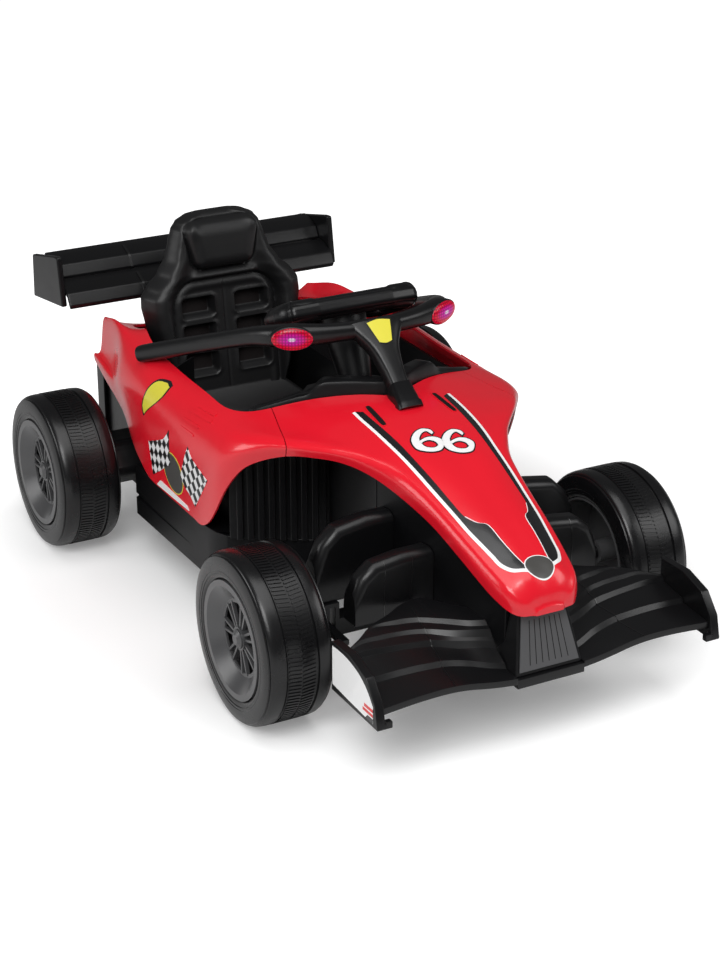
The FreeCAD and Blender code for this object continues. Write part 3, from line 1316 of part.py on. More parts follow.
def tie_rod():
    """The flat bar that joins both steering arms, with slots for the crank pin and the arm pegs."""
    half = KINGPIN_X + TIE_ROD_WIDTH / 2
    wide = TIE_ROD_WIDTH / 2
    top_z = TIE_ROD_Z + TIE_ROD_THICKNESS
    bar = block((-half, TIE_ROD_Y - wide, TIE_ROD_Z), (half, TIE_ROD_Y + wide, top_z))
    tilt = math.radians(COLUMN_TILT_DEG)
    foot = column_point(COLUMN_FOOT)
    pin_top_z = foot.z + CRANK_RADIUS * math.sin(tilt)
    drop = pin_top_z - TIE_ROD_Z - TIE_ROD_THICKNESS / 2
    pin_y = foot.y - CRANK_RADIUS * math.cos(tilt) - drop * math.tan(tilt)
    slot_half = STEER_PIN_RADIUS + SLOT_SIDE_GAP
    tab = block(
        (-2 * slot_half, TIE_ROD_Y - wide, TIE_ROD_Z),
        (2 * slot_half, pin_y + SLOT_END_GAP + 3 * slot_half, top_z),
    )
    bar = bar.fuse(tab).removeSplitter()
    bar = bar.cut(slot_cut(0, pin_y + SLOT_END_GAP / 2, slot_half, SLOT_END_GAP))
    for side in (-1, 1):
        bar = bar.cut(slot_cut(side * KINGPIN_X, TIE_ROD_Y + SLOT_END_GAP / 4, slot_half, SLOT_END_GAP / 2))
    return bar


def knuckle():
    """The left steering knuckle: kingpin block, stub axle with its nut, steering arm and peg."""
    half = KNUCKLE_WIDTH / 2
    tall = KNUCKLE_HEIGHT / 2
    y = FRONT_AXLE_Y
    body = block((KINGPIN_X - half, y - half, AXLE_Z - tall), (KINGPIN_X + half, y + half, AXLE_Z + tall))
    stub_end = FRONT_TRACK / 2 + HALF_TYRE - HUB_POCKET_DEPTH
    body = body.fuse(rod(point(KINGPIN_X, y, AXLE_Z), point(stub_end, y, AXLE_Z), AXLE_RADIUS))
    nut_start = stub_end - AXLE_NUT_LENGTH
    body = body.fuse(rod(point(nut_start, y, AXLE_Z), point(stub_end, y, AXLE_Z), AXLE_NUT_RADIUS))
    spacer_end = FRONT_TRACK / 2 - HALF_TYRE + HUB_POCKET_DEPTH - FIT_GAP
    body = body.fuse(rod(point(KINGPIN_X, y, AXLE_Z), point(spacer_end, y, AXLE_Z), 2 * AXLE_RADIUS))
    arm_half = STEER_ARM_WIDTH / 2
    arm_low = AXLE_Z - STEER_ARM_THICKNESS / 2
    arm_end = TIE_ROD_Y
    arm = block(
        (KINGPIN_X - arm_half, arm_end - arm_half, arm_low),
        (KINGPIN_X + arm_half, y, arm_low + STEER_ARM_THICKNESS),
    )
    peg = rod(
        point(KINGPIN_X, arm_end, TIE_ROD_Z - WORK_GAP),
        point(KINGPIN_X, arm_end, arm_low),
        STEER_PIN_RADIUS,
    )
    body = body.fuse(arm).fuse(peg).removeSplitter()
    reach = KNUCKLE_HEIGHT
    return body.cut(rod(
        point(KINGPIN_X, y, AXLE_Z - reach), point(KINGPIN_X, y, AXLE_Z + reach), KINGPIN_RADIUS + RUN_GAP
    ))


def front_beam():
    """The steel front beam: a bar under the nose box with a fork and kingpin at each end."""
    y = FRONT_AXLE_Y
    half = BEAM_DEPTH / 2
    swing = KNUCKLE_WIDTH / math.sqrt(2)
    fork_x = KINGPIN_X - swing - WORK_GAP
    low_ear = AXLE_Z - KNUCKLE_HEIGHT / 2 - FIT_GAP
    high_ear = AXLE_Z + KNUCKLE_HEIGHT / 2 + FIT_GAP
    beam = block((-fork_x, y - half, NOSE_BOX_Z - BEAM_HEIGHT), (fork_x, y + half, NOSE_BOX_Z))
    inside = half - BEAM_WALL
    beam = beam.cut(block(
        (-fork_x, y - inside, NOSE_BOX_Z - BEAM_HEIGHT + BEAM_WALL),
        (fork_x, y + inside, NOSE_BOX_Z - BEAM_WALL),
    ))
    reach = KINGPIN_X + KNUCKLE_WIDTH / 2
    for side in (-1, 1):
        web = sorted((side * (fork_x - EAR_THICKNESS), side * fork_x))
        ear = sorted((side * (fork_x - EAR_THICKNESS), side * reach))
        low = low_ear - EAR_THICKNESS
        high = high_ear + EAR_THICKNESS
        beam = beam.fuse(block((web[0], y - half, low), (web[1], y + half, high)))
        beam = beam.fuse(block((ear[0], y - half, low), (ear[1], y + half, low_ear)))
        beam = beam.fuse(block((ear[0], y - half, high_ear), (ear[1], y + half, high)))
        pin_x = side * KINGPIN_X
        beam = beam.fuse(rod(point(pin_x, y, low), point(pin_x, y, high), KINGPIN_RADIUS))
    return beam.removeSplitter()


def revolved(points):
    """A ring solid from a half outline of distance along X and radius."""
    corners = [point(x, 0, r) for x, r in points]
    return Part.Face(Part.makePolygon(corners + corners[:1])).revolve(point(0, 0, 0), point(1, 0, 0), 360)


def arc_points(middle, radius, start_deg, end_deg, count):
    """Points of a round stretch of a revolved outline."""
    step = (end_deg - start_deg) / count
    angles = [math.radians(start_deg + i * step) for i in range(count + 1)]
    return [(middle[0] + radius * math.cos(a), middle[1] + radius * math.sin(a)) for a in angles]


def tyre():
    """A blow moulded tyre about the X axis: two tread grooves, round shoulders, open towards the rim."""
    flat = HALF_TYRE - TYRE_SHOULDER
    outer = [(-HALF_TYRE, TYRE_BEAD_RADIUS)]
    outer += arc_points((-flat, WHEEL_RADIUS - TYRE_SHOULDER), TYRE_SHOULDER, 180, 90, ROUND_STEPS)
    for share in GROOVE_SHARES:
        middle = share * HALF_TYRE
        half = TREAD_GROOVE_WIDTH / 2
        outer.append((middle - half, WHEEL_RADIUS))
        outer.append((middle - half / 2, WHEEL_RADIUS - TREAD_GROOVE_DEPTH))
        outer.append((middle + half / 2, WHEEL_RADIUS - TREAD_GROOVE_DEPTH))
        outer.append((middle + half, WHEEL_RADIUS))
    outer += arc_points((flat, WHEEL_RADIUS - TYRE_SHOULDER), TYRE_SHOULDER, 90, 0, ROUND_STEPS)
    outer.append((HALF_TYRE, TYRE_BEAD_RADIUS))
    inside = TYRE_SHOULDER - TYRE_WALL
    inner = [(HALF_TYRE - TYRE_WALL, TYRE_BEAD_RADIUS)]
    inner += arc_points((flat, WHEEL_RADIUS - TYRE_SHOULDER), inside, 0, 90, ROUND_STEPS)
    inner += arc_points((-flat, WHEEL_RADIUS - TYRE_SHOULDER), inside, 90, 180, ROUND_STEPS)
    inner.append((-HALF_TYRE + TYRE_WALL, TYRE_BEAD_RADIUS))
    return revolved(outer + inner)


def rim(driven):
    """A spoked rim about the X axis, outer face towards +X, with its centre cap as a second solid."""
    barrel = TYRE_BEAD_RADIUS - FIT_GAP
    face = HALF_TYRE - RIM_WALL / 3
    lip_inner = barrel - RIM_LIP_WIDTH
    dish = face - RIM_DISH_DEPTH
    web = face - RIM_WEB_DEPTH
    back = -HALF_TYRE + RIM_WALL
    ring = revolved([(back, barrel - RIM_WALL), (face, barrel - RIM_WALL), (face, barrel), (back, barrel)])
    cone = revolved([
        (face, lip_inner),
        (face, barrel - RIM_WALL / 2),
        (face - RIM_WALL, barrel - RIM_WALL / 2),
        (dish - RIM_WALL, SPOKE_RING_RADIUS),
        (dish - RIM_WALL, SPOKE_RING_RADIUS - SPOKE_RING_WIDTH),
        (dish, SPOKE_RING_RADIUS - SPOKE_RING_WIDTH),
        (dish, SPOKE_RING_RADIUS),
    ])
    hub_inner = -HALF_TYRE + HUB_POCKET_DEPTH
    hub_face = dish + RIM_WALL
    hub = rod(point(hub_inner, 0, 0), point(hub_face, 0, 0), HUB_RADIUS)
    disc = rod(point(web - RIM_WALL, 0, 0), point(web, 0, 0), barrel - RIM_WALL / 2)
    wheel = ring.fuse(cone).fuse(hub).fuse(disc)
    spread = math.radians(SPOKE_SPREAD_DEG)
    for pair in range(SPOKE_PAIRS):
        base = 2 * math.pi * pair / SPOKE_PAIRS
        for lean in (-1, 1):
            inner = base + math.atan2(SPOKE_WIDTH * lean, HUB_RADIUS)
            root_radius = HUB_RADIUS - SPOKE_WIDTH
            start = root_radius * math.cos(inner), root_radius * math.sin(inner)
            outer = base + lean * spread / 2
            tip_radius = SPOKE_RING_RADIUS - SPOKE_RING_WIDTH / 2
            tip = tip_radius * math.cos(outer), tip_radius * math.sin(outer)
            du, dv = unit(tip[0] - start[0], tip[1] - start[1])
            half = SPOKE_WIDTH / 2
            outline = [
                (start[0] + dv * half, start[1] - du * half),
                (tip[0] + dv * half, tip[1] - du * half),
                (tip[0] - dv * half, tip[1] + du * half),
                (start[0] - dv * half, start[1] + du * half),
            ]
            wheel = wheel.fuse(prism(outline, dish - SPOKE_DEPTH + RIM_WALL / 3, dish + RIM_WALL / 3, "yz"))
    wheel = wheel.removeSplitter()
    wheel = wheel.cut(rod(point(-TYRE_WIDTH, 0, 0), point(TYRE_WIDTH, 0, 0), AXLE_RADIUS + RUN_GAP))
    pocket = hub_face - HUB_POCKET_DEPTH
    wheel = wheel.cut(rod(point(pocket, 0, 0), point(TYRE_WIDTH, 0, 0), HUB_POCKET_RADIUS))
    if driven:
        dog_end = hub_inner + DRIVE_DOG_LENGTH + FIT_GAP
        wheel = wheel.cut(dog_prism(hub_inner - OVERRUN, dog_end, DRIVE_DOG_RADIUS + FIT_GAP))
    cap = revolved([
        (hub_face, 0),
        (hub_face, HUB_CAP_RADIUS),
        (hub_face + HUB_CAP_HEIGHT / 3, HUB_CAP_RADIUS),
        (hub_face + HUB_CAP_HEIGHT, HUB_CAP_RADIUS / 2),
        (hub_face + HUB_CAP_HEIGHT, 0),
    ])
    return Part.makeCompound([wheel, cap])


def dog_prism(start, end, radius):
    """A six sided bar along X, which carries the drive from the output gear into the rim."""
    angles = [2 * math.pi * i / DOG_SIDES for i in range(DOG_SIDES)]
    return prism([(radius * math.cos(a), radius * math.sin(a)) for a in angles], start, end, "yz")


def at_wheel(shape, side, track, y):
    """Moves a piece drawn for the left wheel at the origin to one of the four corners of the car."""
    placed = shape if side > 0 else mirrored(shape)
    placed = placed.copy()
    placed.translate(point(side * track / 2, y, AXLE_Z))
    return placed


def involute(angle):
    """The involute function of a pressure angle."""
    return math.tan(angle) - angle


def gear(teeth, module, start, end, bore, first_deg):
    """A spur gear along X, with one tooth pointing in the given direction in the YZ plane."""
    pitch = teeth * module / 2
    pressure = math.radians(PRESSURE_ANGLE_DEG)
    base = pitch * math.cos(pressure)
    tip = pitch + ADDENDUM_SHARE * module
    root = pitch - DEDENDUM_SHARE * module
    half_pitch = math.pi / (2 * teeth) - GEAR_BACKLASH / (4 * pitch)
    flank = []
    low = max(base, root)
    for i in range(FLANK_STEPS + 1):
        radius = low + (tip - low) * i / FLANK_STEPS
        local = math.acos(min(1.0, base / radius))
        flank.append((radius, half_pitch + involute(pressure) - involute(local)))
    if root < base:
        flank.insert(0, (root, flank[0][1]))
    outline = []
    for tooth in range(teeth):
        middle = math.radians(first_deg) + 2 * math.pi * tooth / teeth
        for radius, half in flank:
            outline.append((radius * math.cos(middle - half), radius * math.sin(middle - half)))
        for radius, half in reversed(flank):
            outline.append((radius * math.cos(middle + half), radius * math.sin(middle + half)))
    body = prism(outline, start, end, "yz")
    return body.cut(rod(point(start - OVERRUN, 0, 0), point(end + OVERRUN, 0, 0), bore))


def ahead_of(centre, distance, rise_deg):
    """A point ahead of a gear centre in the YZ plane, and the direction back from it."""
    rise = math.radians(rise_deg)
    return (centre[0] - distance * math.cos(rise), centre[1] + distance * math.sin(rise))


OUTPUT_CENTRE = (REAR_AXLE_Y, AXLE_Z)
CLUSTER_CENTRE = ahead_of(OUTPUT_CENTRE, OUTPUT_DISTANCE, CLUSTER_RISE_DEG)
PINION_CENTRE = ahead_of(CLUSTER_CENTRE, PINION_DISTANCE, PINION_RISE_DEG)

def placed_gear(shape, centre):
    """Moves a gear from the X axis to its centre."""
    moved = shape.copy()
    moved.translate(point(0, *centre))
    return moved


def output_gear():
    """The left output gear, with the hub and drive dog that turn the rear wheel."""
    bore_radius = AXLE_RADIUS + RUN_GAP
    wheel = gear(OUTPUT_TEETH, COARSE_MODULE, COARSE_START, COARSE_END, bore_radius, 180 - CLUSTER_RISE_DEG)
    hub_inner = REAR_TRACK / 2 - HALF_TYRE + HUB_POCKET_DEPTH
    hub = rod(point(COARSE_END - GEAR_WIDTH, 0, 0), point(hub_inner - FIT_GAP, 0, 0), OUTPUT_HUB_RADIUS)
    dog = dog_prism(hub_inner - GEAR_WIDTH, hub_inner + DRIVE_DOG_LENGTH, DRIVE_DOG_RADIUS)
    bore = rod(point(FINE_START, 0, 0), point(hub_inner + TYRE_WIDTH, 0, 0), bore_radius)
    return placed_gear(wheel.fuse(hub.fuse(dog).cut(bore)).removeSplitter(), OUTPUT_CENTRE)


def cluster_gear():
    """The left cluster gear: a large wheel driven by the pinion and a small one that drives the output."""
    space = 180.0 / CLUSTER_PINION_TEETH
    bore = CLUSTER_PIN_RADIUS + RUN_GAP
    wheel = gear(CLUSTER_WHEEL_TEETH, FINE_MODULE, FINE_START, FINE_END, bore, 180 - PINION_RISE_DEG)
    small = gear(CLUSTER_PINION_TEETH, COARSE_MODULE, FINE_END, COARSE_END, bore, -CLUSTER_RISE_DEG + space)
    return placed_gear(wheel.fuse(small).removeSplitter(), CLUSTER_CENTRE)


def motor_pinion():
    """The left motor pinion on the motor's shaft."""
    space = 180.0 / PINION_TEETH
    first_deg = -PINION_RISE_DEG + space
    teeth = gear(PINION_TEETH, FINE_MODULE, FINE_START, FINE_END, MOTOR_SHAFT_RADIUS, first_deg)
    motor_face = GEARBOX_INNER_X - BULKHEAD_WALL
    shaft = rod(point(motor_face - MOTOR_LENGTH / 2, 0, 0), point(FINE_END, 0, 0), MOTOR_SHAFT_RADIUS)
    return placed_gear(teeth.fuse(shaft).removeSplitter(), PINION_CENTRE)


def motor():
    """The left motor can, against the inner side of the bulkhead."""
    face = GEARBOX_INNER_X - BULKHEAD_WALL
    can = rod(point(face - MOTOR_LENGTH, 0, 0), point(face, 0, 0), MOTOR_RADIUS)
    deep = face - MOTOR_LENGTH / 2 - FIT_GAP
    bore = rod(point(deep, 0, 0), point(face + OVERRUN, 0, 0), MOTOR_SHAFT_RADIUS + RUN_GAP)
    return placed_gear(can.cut(bore), PINION_CENTRE)


def hull_outline(circles):
    """The convex outline round a few circles."""
    cloud = []
    for (y, z), radius in circles:
        for i in range(HULL_STEPS):
            angle = 2 * math.pi * i / HULL_STEPS
            cloud.append((y + radius * math.cos(angle), z + radius * math.sin(angle)))
    cloud = sorted(set(cloud))
    chains = []
    for points in (cloud, cloud[::-1]):
        chain = []
        for p in points:
            while len(chain) > 1 and turn(chain[-2], chain[-1], p) <= 0:
                chain.pop()
            chain.append(p)
        chains.append(chain[:-1])
    return chains[0] + chains[1]


def turn(a, b, c):
    """Positive where three points turn to the left."""
    return (b[0] - a[0]) * (c[1] - a[1]) - (b[1] - a[1]) * (c[0] - a[0])


def gear_room(grow):
    """The circles round the three gears of one drive unit, wider by a distance."""
    output = COARSE_MODULE * (OUTPUT_TEETH / 2 + 1) + WORK_GAP + grow
    cluster = FINE_MODULE * (CLUSTER_WHEEL_TEETH / 2 + 1) + WORK_GAP + grow
    pinion = FINE_MODULE * (PINION_TEETH / 2 + 1) + WORK_GAP + grow
    return [(OUTPUT_CENTRE, output), (CLUSTER_CENTRE, cluster), (PINION_CENTRE, pinion)]


def gearbox():
    """The left gearbox case, open towards the bulkhead, with the fixed pin for the cluster gear."""
    case = prism(hull_outline(gear_room(GEARBOX_WALL)), GEARBOX_INNER_X, GEARBOX_OUTER_X, "yz")
    inner_end = GEARBOX_OUTER_X - GEARBOX_WALL
    case = case.cut(prism(hull_outline(gear_room(0)), GEARBOX_INNER_X - OVERRUN, inner_end, "yz"))
    outside = point(GEARBOX_OUTER_X + OVERRUN, *OUTPUT_CENTRE)
    hole = rod(point(GEARBOX_INNER_X, *OUTPUT_CENTRE), outside, OUTPUT_HUB_RADIUS + FIT_GAP)
    pin_end = point(inner_end + GEARBOX_WALL / 2, *CLUSTER_CENTRE)
    pin = rod(point(GEARBOX_INNER_X, *CLUSTER_CENTRE), pin_end, CLUSTER_PIN_RADIUS)
    boss = rod(point(COARSE_END + GEAR_SIDE_GAP, *CLUSTER_CENTRE), pin_end, 2 * CLUSTER_PIN_RADIUS)
    return case.cut(hole).fuse(pin).fuse(boss).removeSplitter()


def rear_bulkhead():
    """The left bulkhead: an upright wall between motor and gearbox, and a shelf over the motor."""
    inner = GEARBOX_INNER_X - BULKHEAD_WALL
    front_y = along(TUB_TAPER_SHARES[1])
    rear_y = along(TUB_REAR_SHARE)
    wall = block((inner, front_y, FLOOR_Z), (GEARBOX_INNER_X, rear_y, BULKHEAD_TOP_Z))
    shelf = block(
        (REAR_TUB_SHARE * BODY_HALF_WIDTH + SHELL_GAP, front_y, BULKHEAD_TOP_Z - BULKHEAD_WALL),
        (inner, rear_y, BULKHEAD_TOP_Z),
    )
    wall = wall.fuse(shelf).removeSplitter()
    ends = inner - OVERRUN, GEARBOX_INNER_X + OVERRUN
    shaft_hole = rod(point(ends[0], *PINION_CENTRE), point(ends[1], *PINION_CENTRE), 2 * MOTOR_SHAFT_RADIUS)
    axle_hole = rod(point(ends[0], *OUTPUT_CENTRE), point(ends[1], *OUTPUT_CENTRE), AXLE_RADIUS + FIT_GAP)
    return wall.cut(shaft_hole).cut(axle_hole)


def rear_axle():
    """The fixed steel rear axle with a nut on each end."""
    end = REAR_TRACK / 2 + HALF_TYRE - HUB_POCKET_DEPTH
    bar = rod(point(-end, *OUTPUT_CENTRE), point(end, *OUTPUT_CENTRE), AXLE_RADIUS)
    for side in (-1, 1):
        start = side * (end - AXLE_NUT_LENGTH)
        bar = bar.fuse(rod(point(start, *OUTPUT_CENTRE), point(side * end, *OUTPUT_CENTRE), AXLE_NUT_RADIUS))
    return bar.removeSplitter()


def boxed(size, middle_y):
    """A plain box on the tub floor, on the centre plane."""
    half = size[0] / 2
    deep = size[1] / 2
    return block((-half, middle_y - deep, FLOOR_TOP_Z), (half, middle_y + deep, FLOOR_TOP_Z + size[2]))


def charge_socket():
    """The round charging socket in the tail panel, with a blind bore for the charger's plug."""
    face = along(2) + TAIL_WALL + SOCKET_FLANGE
    body = rod(point(0, face - SOCKET_LENGTH, SOCKET_Z), point(0, face, SOCKET_Z), SOCKET_RADIUS)
    front = point(0, face, SOCKET_Z)
    flange = rod(front - point(0, SOCKET_FLANGE, 0), front, SOCKET_RADIUS + SOCKET_FLANGE)
    bore = rod(front - point(0, SOCKET_BORE_DEPTH, 0), front + point(0, OVERRUN, 0), SOCKET_BORE_RADIUS)
    return body.fuse(flange).removeSplitter().cut(bore)


def pedal_hinge():
    """The middle of the pedal's hinge pin."""
    return point(PEDAL_X, along(PEDAL_HINGE_SHARE), FOOT_FLOOR_TOP_Z + PEDAL_KNUCKLE_RADIUS + FIT_GAP)


def foot_pedal():
    """The accelerator pedal: a sloping plate with a round hinge eye at its heel."""
    hinge = pedal_hinge()
    half = PEDAL_WIDTH / 2
    low = -PEDAL_THICKNESS / 2
    plate = block((-half, -PEDAL_LENGTH, low), (half, 0, low + PEDAL_THICKNESS))
    eye = rod(point(-half, 0, 0), point(half, 0, 0), PEDAL_KNUCKLE_RADIUS)
    pedal = plate.fuse(eye).removeSplitter()
    pedal = pedal.cut(rod(point(-PEDAL_WIDTH, 0, 0), point(PEDAL_WIDTH, 0, 0), PEDAL_PIN_RADIUS + RUN_GAP))
    pedal.rotate(point(0, 0, 0), point(1, 0, 0), -PEDAL_ANGLE_DEG)
    pedal.translate(hinge)
    return pedal


def pedal_base():
    """The pedal's two floor ears and the hinge pin between them."""
    hinge = pedal_hinge()
    inner = PEDAL_WIDTH / 2 + FIT_GAP
    outer = inner + PEDAL_EAR_WIDTH
    base = rod(hinge + point(-outer, 0, 0), hinge + point(outer, 0, 0), PEDAL_PIN_RADIUS)
    for side in (-1, 1):
        sides = sorted((side * inner, side * outer))
        ear = block(
            (hinge.x + sides[0], hinge.y - PEDAL_KNUCKLE_RADIUS, FOOT_FLOOR_TOP_Z),
            (hinge.x + sides[1], hinge.y + PEDAL_KNUCKLE_RADIUS, hinge.z + PEDAL_KNUCKLE_RADIUS),
        )
        base = base.fuse(ear)
    return base.removeSplitter()


def all_pieces():
    """Every piece of the car, by name."""
    under_shell = body_loft(SHELL_WALL + SHELL_GAP, 0)
    over_shell = body_loft(-FIT_GAP, 0)
    pieces = {}
    pieces["nose_cover"], pieces["body_shell"] = red_shells()
    pieces["chassis_tub"] = chassis_tub(under_shell)
    pieces["nose_box"] = nose_box(under_shell)
    pieces["nose_pylon"] = nose_pylon()
    pieces["pylon_grille"] = pylon_grille()
    pieces["front_wing"] = front_wing()
    pieces["rear_wing_main"] = rear_plane(MAIN_PLANE_SHARES)
    pieces["rear_wing_flap"] = rear_plane(FLAP_SHARES)
    pieces["tail_panel"], shelf_y, shelf_z = tail_panel()
    pieces["rear_wing_posts"] = rear_wing_posts(pieces["rear_wing_main"], shelf_y, shelf_z)
    pieces["seat_shell"] = seat_shell()
    pieces["headrest_pad"] = headrest_pad()
    pieces["halo"] = halo(over_shell)
    pieces["dash_panel"], dash_drop = dash_panel()
    pieces["power_button"] = power_button()
    pieces["direction_rocker"] = direction_rocker()
    pieces["steering_wheel"] = steering_wheel()
    pieces["steering_column"] = steering_column()
    pieces["steering_boss"] = steering_boss(dash_drop)
    pieces["horn_button"] = steering_button(1)
    pieces["music_button"] = steering_button(-1)
    pieces["tie_rod"] = tie_rod()
    pieces["front_beam"] = front_beam()
    pieces["rear_axle"] = rear_axle()
    pieces["battery"] = boxed(BATTERY_SIZE, along(BATTERY_SHARE))
    pieces["control_box"] = boxed(CONTROL_BOX_SIZE, along(CONTROL_BOX_SHARE))
    pieces["charge_socket"] = charge_socket()
    pieces["foot_pedal"] = foot_pedal()
    pieces["pedal_base"] = pedal_base()
    pairs = {
        "side_sill": side_sill(),
        "front_fairing": front_fairing(),
        "wing_endplate": wing_endplate(),
        "rear_endplate": rear_endplate(),
        "knuckle": knuckle(),
        "rear_bulkhead": rear_bulkhead(),
        "motor_pinion": motor_pinion(),
        "cluster_gear": cluster_gear(),
        "output_gear": output_gear(),
    }
    for name, shape in pairs.items():
        pieces[name + "_left"] = shape
        pieces[name + "_right"] = mirrored(shape)
    sets = {
        "radiators": radiator(under_shell),
        "halo_lenses": halo_lens(),
        "gearboxes": gearbox(),
        "motors": motor(),
    }
    for name, shape in sets.items():
        pieces[name] = Part.makeCompound([shape, mirrored(shape)])
    tread = tyre()
    rims = {driven: rim(driven) for driven in (False, True)}
    for corner, side, track, y, driven in WHEEL_CORNERS:
        pieces["tyre_" + corner] = at_wheel(tread, side, track, y)
        pieces["rim_" + corner] = at_wheel(rims[driven], side, track, y)
    return pieces


def main():
    """Builds the pieces and writes each one."""
    os.makedirs("parts", exist_ok=True)
    for name, shape in all_pieces().items():
        solids = shape.Solids
        volume = round(sum(solid.Volume for solid in solids))
        print(name, "solids", len(solids), "volume", volume, "valid", shape.isValid())
        shape.exportStep(os.path.join("parts", name + ".step"))


main()
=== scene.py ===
# %% [markdown]
# This scene dresses a child's electric ride-on car, shaped like an open-wheel racing car.
# The CAD model brings every moulding in its true place, so the work here is looks: soft moulded edges, stickers,
# tyres and light.

# %% Load the CAD frame
import json
import math
import bmesh
import bpy
from mathutils import Matrix, Vector
from mathutils.bvhtree import BVHTree

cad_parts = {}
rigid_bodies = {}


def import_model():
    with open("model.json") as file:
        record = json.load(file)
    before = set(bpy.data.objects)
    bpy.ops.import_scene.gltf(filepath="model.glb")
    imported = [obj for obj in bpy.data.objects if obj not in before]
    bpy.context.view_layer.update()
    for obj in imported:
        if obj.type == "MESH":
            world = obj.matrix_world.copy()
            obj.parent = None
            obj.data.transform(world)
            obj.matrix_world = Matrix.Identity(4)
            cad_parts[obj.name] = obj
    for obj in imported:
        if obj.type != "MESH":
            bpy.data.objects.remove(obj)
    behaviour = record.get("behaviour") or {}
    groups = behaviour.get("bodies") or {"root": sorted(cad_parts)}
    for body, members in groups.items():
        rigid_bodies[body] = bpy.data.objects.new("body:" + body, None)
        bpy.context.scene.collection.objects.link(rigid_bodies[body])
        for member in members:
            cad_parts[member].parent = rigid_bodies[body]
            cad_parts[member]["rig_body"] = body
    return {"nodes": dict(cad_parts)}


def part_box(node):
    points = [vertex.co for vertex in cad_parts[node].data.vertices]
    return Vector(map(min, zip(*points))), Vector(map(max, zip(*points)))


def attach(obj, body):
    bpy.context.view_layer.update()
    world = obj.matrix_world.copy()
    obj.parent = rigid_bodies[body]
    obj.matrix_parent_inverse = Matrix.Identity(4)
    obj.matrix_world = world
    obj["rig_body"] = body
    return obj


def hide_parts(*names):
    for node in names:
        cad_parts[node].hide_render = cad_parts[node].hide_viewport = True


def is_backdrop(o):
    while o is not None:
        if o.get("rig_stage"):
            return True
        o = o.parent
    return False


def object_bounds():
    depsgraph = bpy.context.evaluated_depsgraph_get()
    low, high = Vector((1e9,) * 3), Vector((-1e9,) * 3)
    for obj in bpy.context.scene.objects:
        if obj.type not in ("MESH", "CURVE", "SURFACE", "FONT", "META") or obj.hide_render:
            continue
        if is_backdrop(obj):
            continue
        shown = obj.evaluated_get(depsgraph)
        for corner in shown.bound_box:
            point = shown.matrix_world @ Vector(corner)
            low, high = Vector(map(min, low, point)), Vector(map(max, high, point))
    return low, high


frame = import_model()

scene = bpy.context.scene
nodes = frame["nodes"]
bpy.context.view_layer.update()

# %% [markdown]
# The camera stands where the photographer stood: in front, a little to the car's right and above it.
# A long lens keeps the nose from looking swollen, as in a catalogue picture.

# %% Camera
CAMERA_TURN = math.radians(-28.117)
CAMERA_RISE = math.radians(23.704)
camera_data = bpy.data.cameras.new("photo_camera")
camera_data.sensor_fit = "AUTO"
camera_data.sensor_width = 36.0
camera_data.lens = 81.33
camera = bpy.data.objects.new("photo_camera", camera_data)
camera.location = (-1.427, -2.7475, 1.5241)
camera.rotation_euler = (math.pi / 2 - CAMERA_RISE, 0, CAMERA_TURN)
scene.collection.objects.link(camera)
scene.camera = camera
print("camera at", tuple(round(v, 3) for v in camera.location))

# %% [markdown]
# A catalogue studio is white all round, so the world is white to the camera, and only a faint fill as a light. Two
# helpers make and wire the shader nodes, here and in every material.
# The lamps are big and soft: one at each front corner, one overhead and one beside the flank, with little light
# from behind, so black parts stay deep.
# Each lamp is an area light turned to face the middle of the car.

# %% Studio light


def feed(tree, node, inputs):
    """Set a node's inputs by name or place; each is a number, a colour or another node's output."""
    for label, value in inputs.items():
        if isinstance(value, bpy.types.NodeSocket):
            tree.links.new(value, node.inputs[label])
        else:
            node.inputs[label].default_value = value
    return node


def add_node(tree, kind, inputs=None, **settings):
    """A new shader node with its settings and inputs."""
    node = tree.nodes.new("ShaderNode" + kind)
    for label, value in settings.items():
        setattr(node, label, value)
    return feed(tree, node, inputs or {})


CAR_MIDDLE = Vector((0, 0, 0.25))


def softbox(name, place, size, power):
    """An area lamp at place that looks at the middle of the car."""
    lamp = bpy.data.lights.new(name, "AREA")
    lamp.shape = "RECTANGLE"
    lamp.size, lamp.size_y = size
    lamp.energy = power
    holder = bpy.data.objects.new(name, lamp)
    holder.location = place
    aim = CAR_MIDDLE - Vector(place)
    holder.rotation_euler = aim.to_track_quat("-Z", "Y").to_euler()
    scene.collection.objects.link(holder)


scene.view_settings.view_transform = "Standard"
world = bpy.data.worlds.new("white_studio")
scene.world = world
world.use_nodes = True
tree = world.node_tree
seen = add_node(tree, "LightPath").outputs["Is Camera Ray"]
level = add_node(tree, "MapRange", {"Value": seen, "To Min": 0.1, "To Max": 1.0})
feed(tree, tree.nodes["Background"], {"Color": (1, 1, 1, 1), "Strength": level.outputs["Result"]})
softbox("key_softbox", (-1.9, -2.3, 2.7), (1.7, 1.7), 78)
softbox("fill_softbox", (2.3, -1.9, 1.9), (1.5, 1.5), 26)
softbox("top_softbox", (-0.2, -1.0, 2.9), (2.4, 2.4), 50)
softbox("flank_softbox", (-2.9, 0.9, 1.1), (1.5, 1.2), 24)

# %% [markdown]
# The floor is one wide pale plane that catches the car's shadow.
# Its own faint glow, seen only by the camera, grows away from the car and lifts the open floor to white while the
# shadow stays; the glow is weakest near the car, which paints a darker shade round it.

# %% Floor
FLOOR_HALF, FLOOR_Z = 12.0, -0.0006


def new_piece(name, bm, material=None):
    """Turn a bmesh into a scene object."""
    mesh = bpy.data.meshes.new(name)
    bm.to_mesh(mesh)
    bm.free()
    piece = bpy.data.objects.new(name, mesh)
    scene.collection.objects.link(piece)
    if material:
        mesh.materials.append(material)
    return piece


def size_of(piece):
    """The size of a piece in metres, for printing."""
    return [round(v, 3) for v in piece.dimensions]


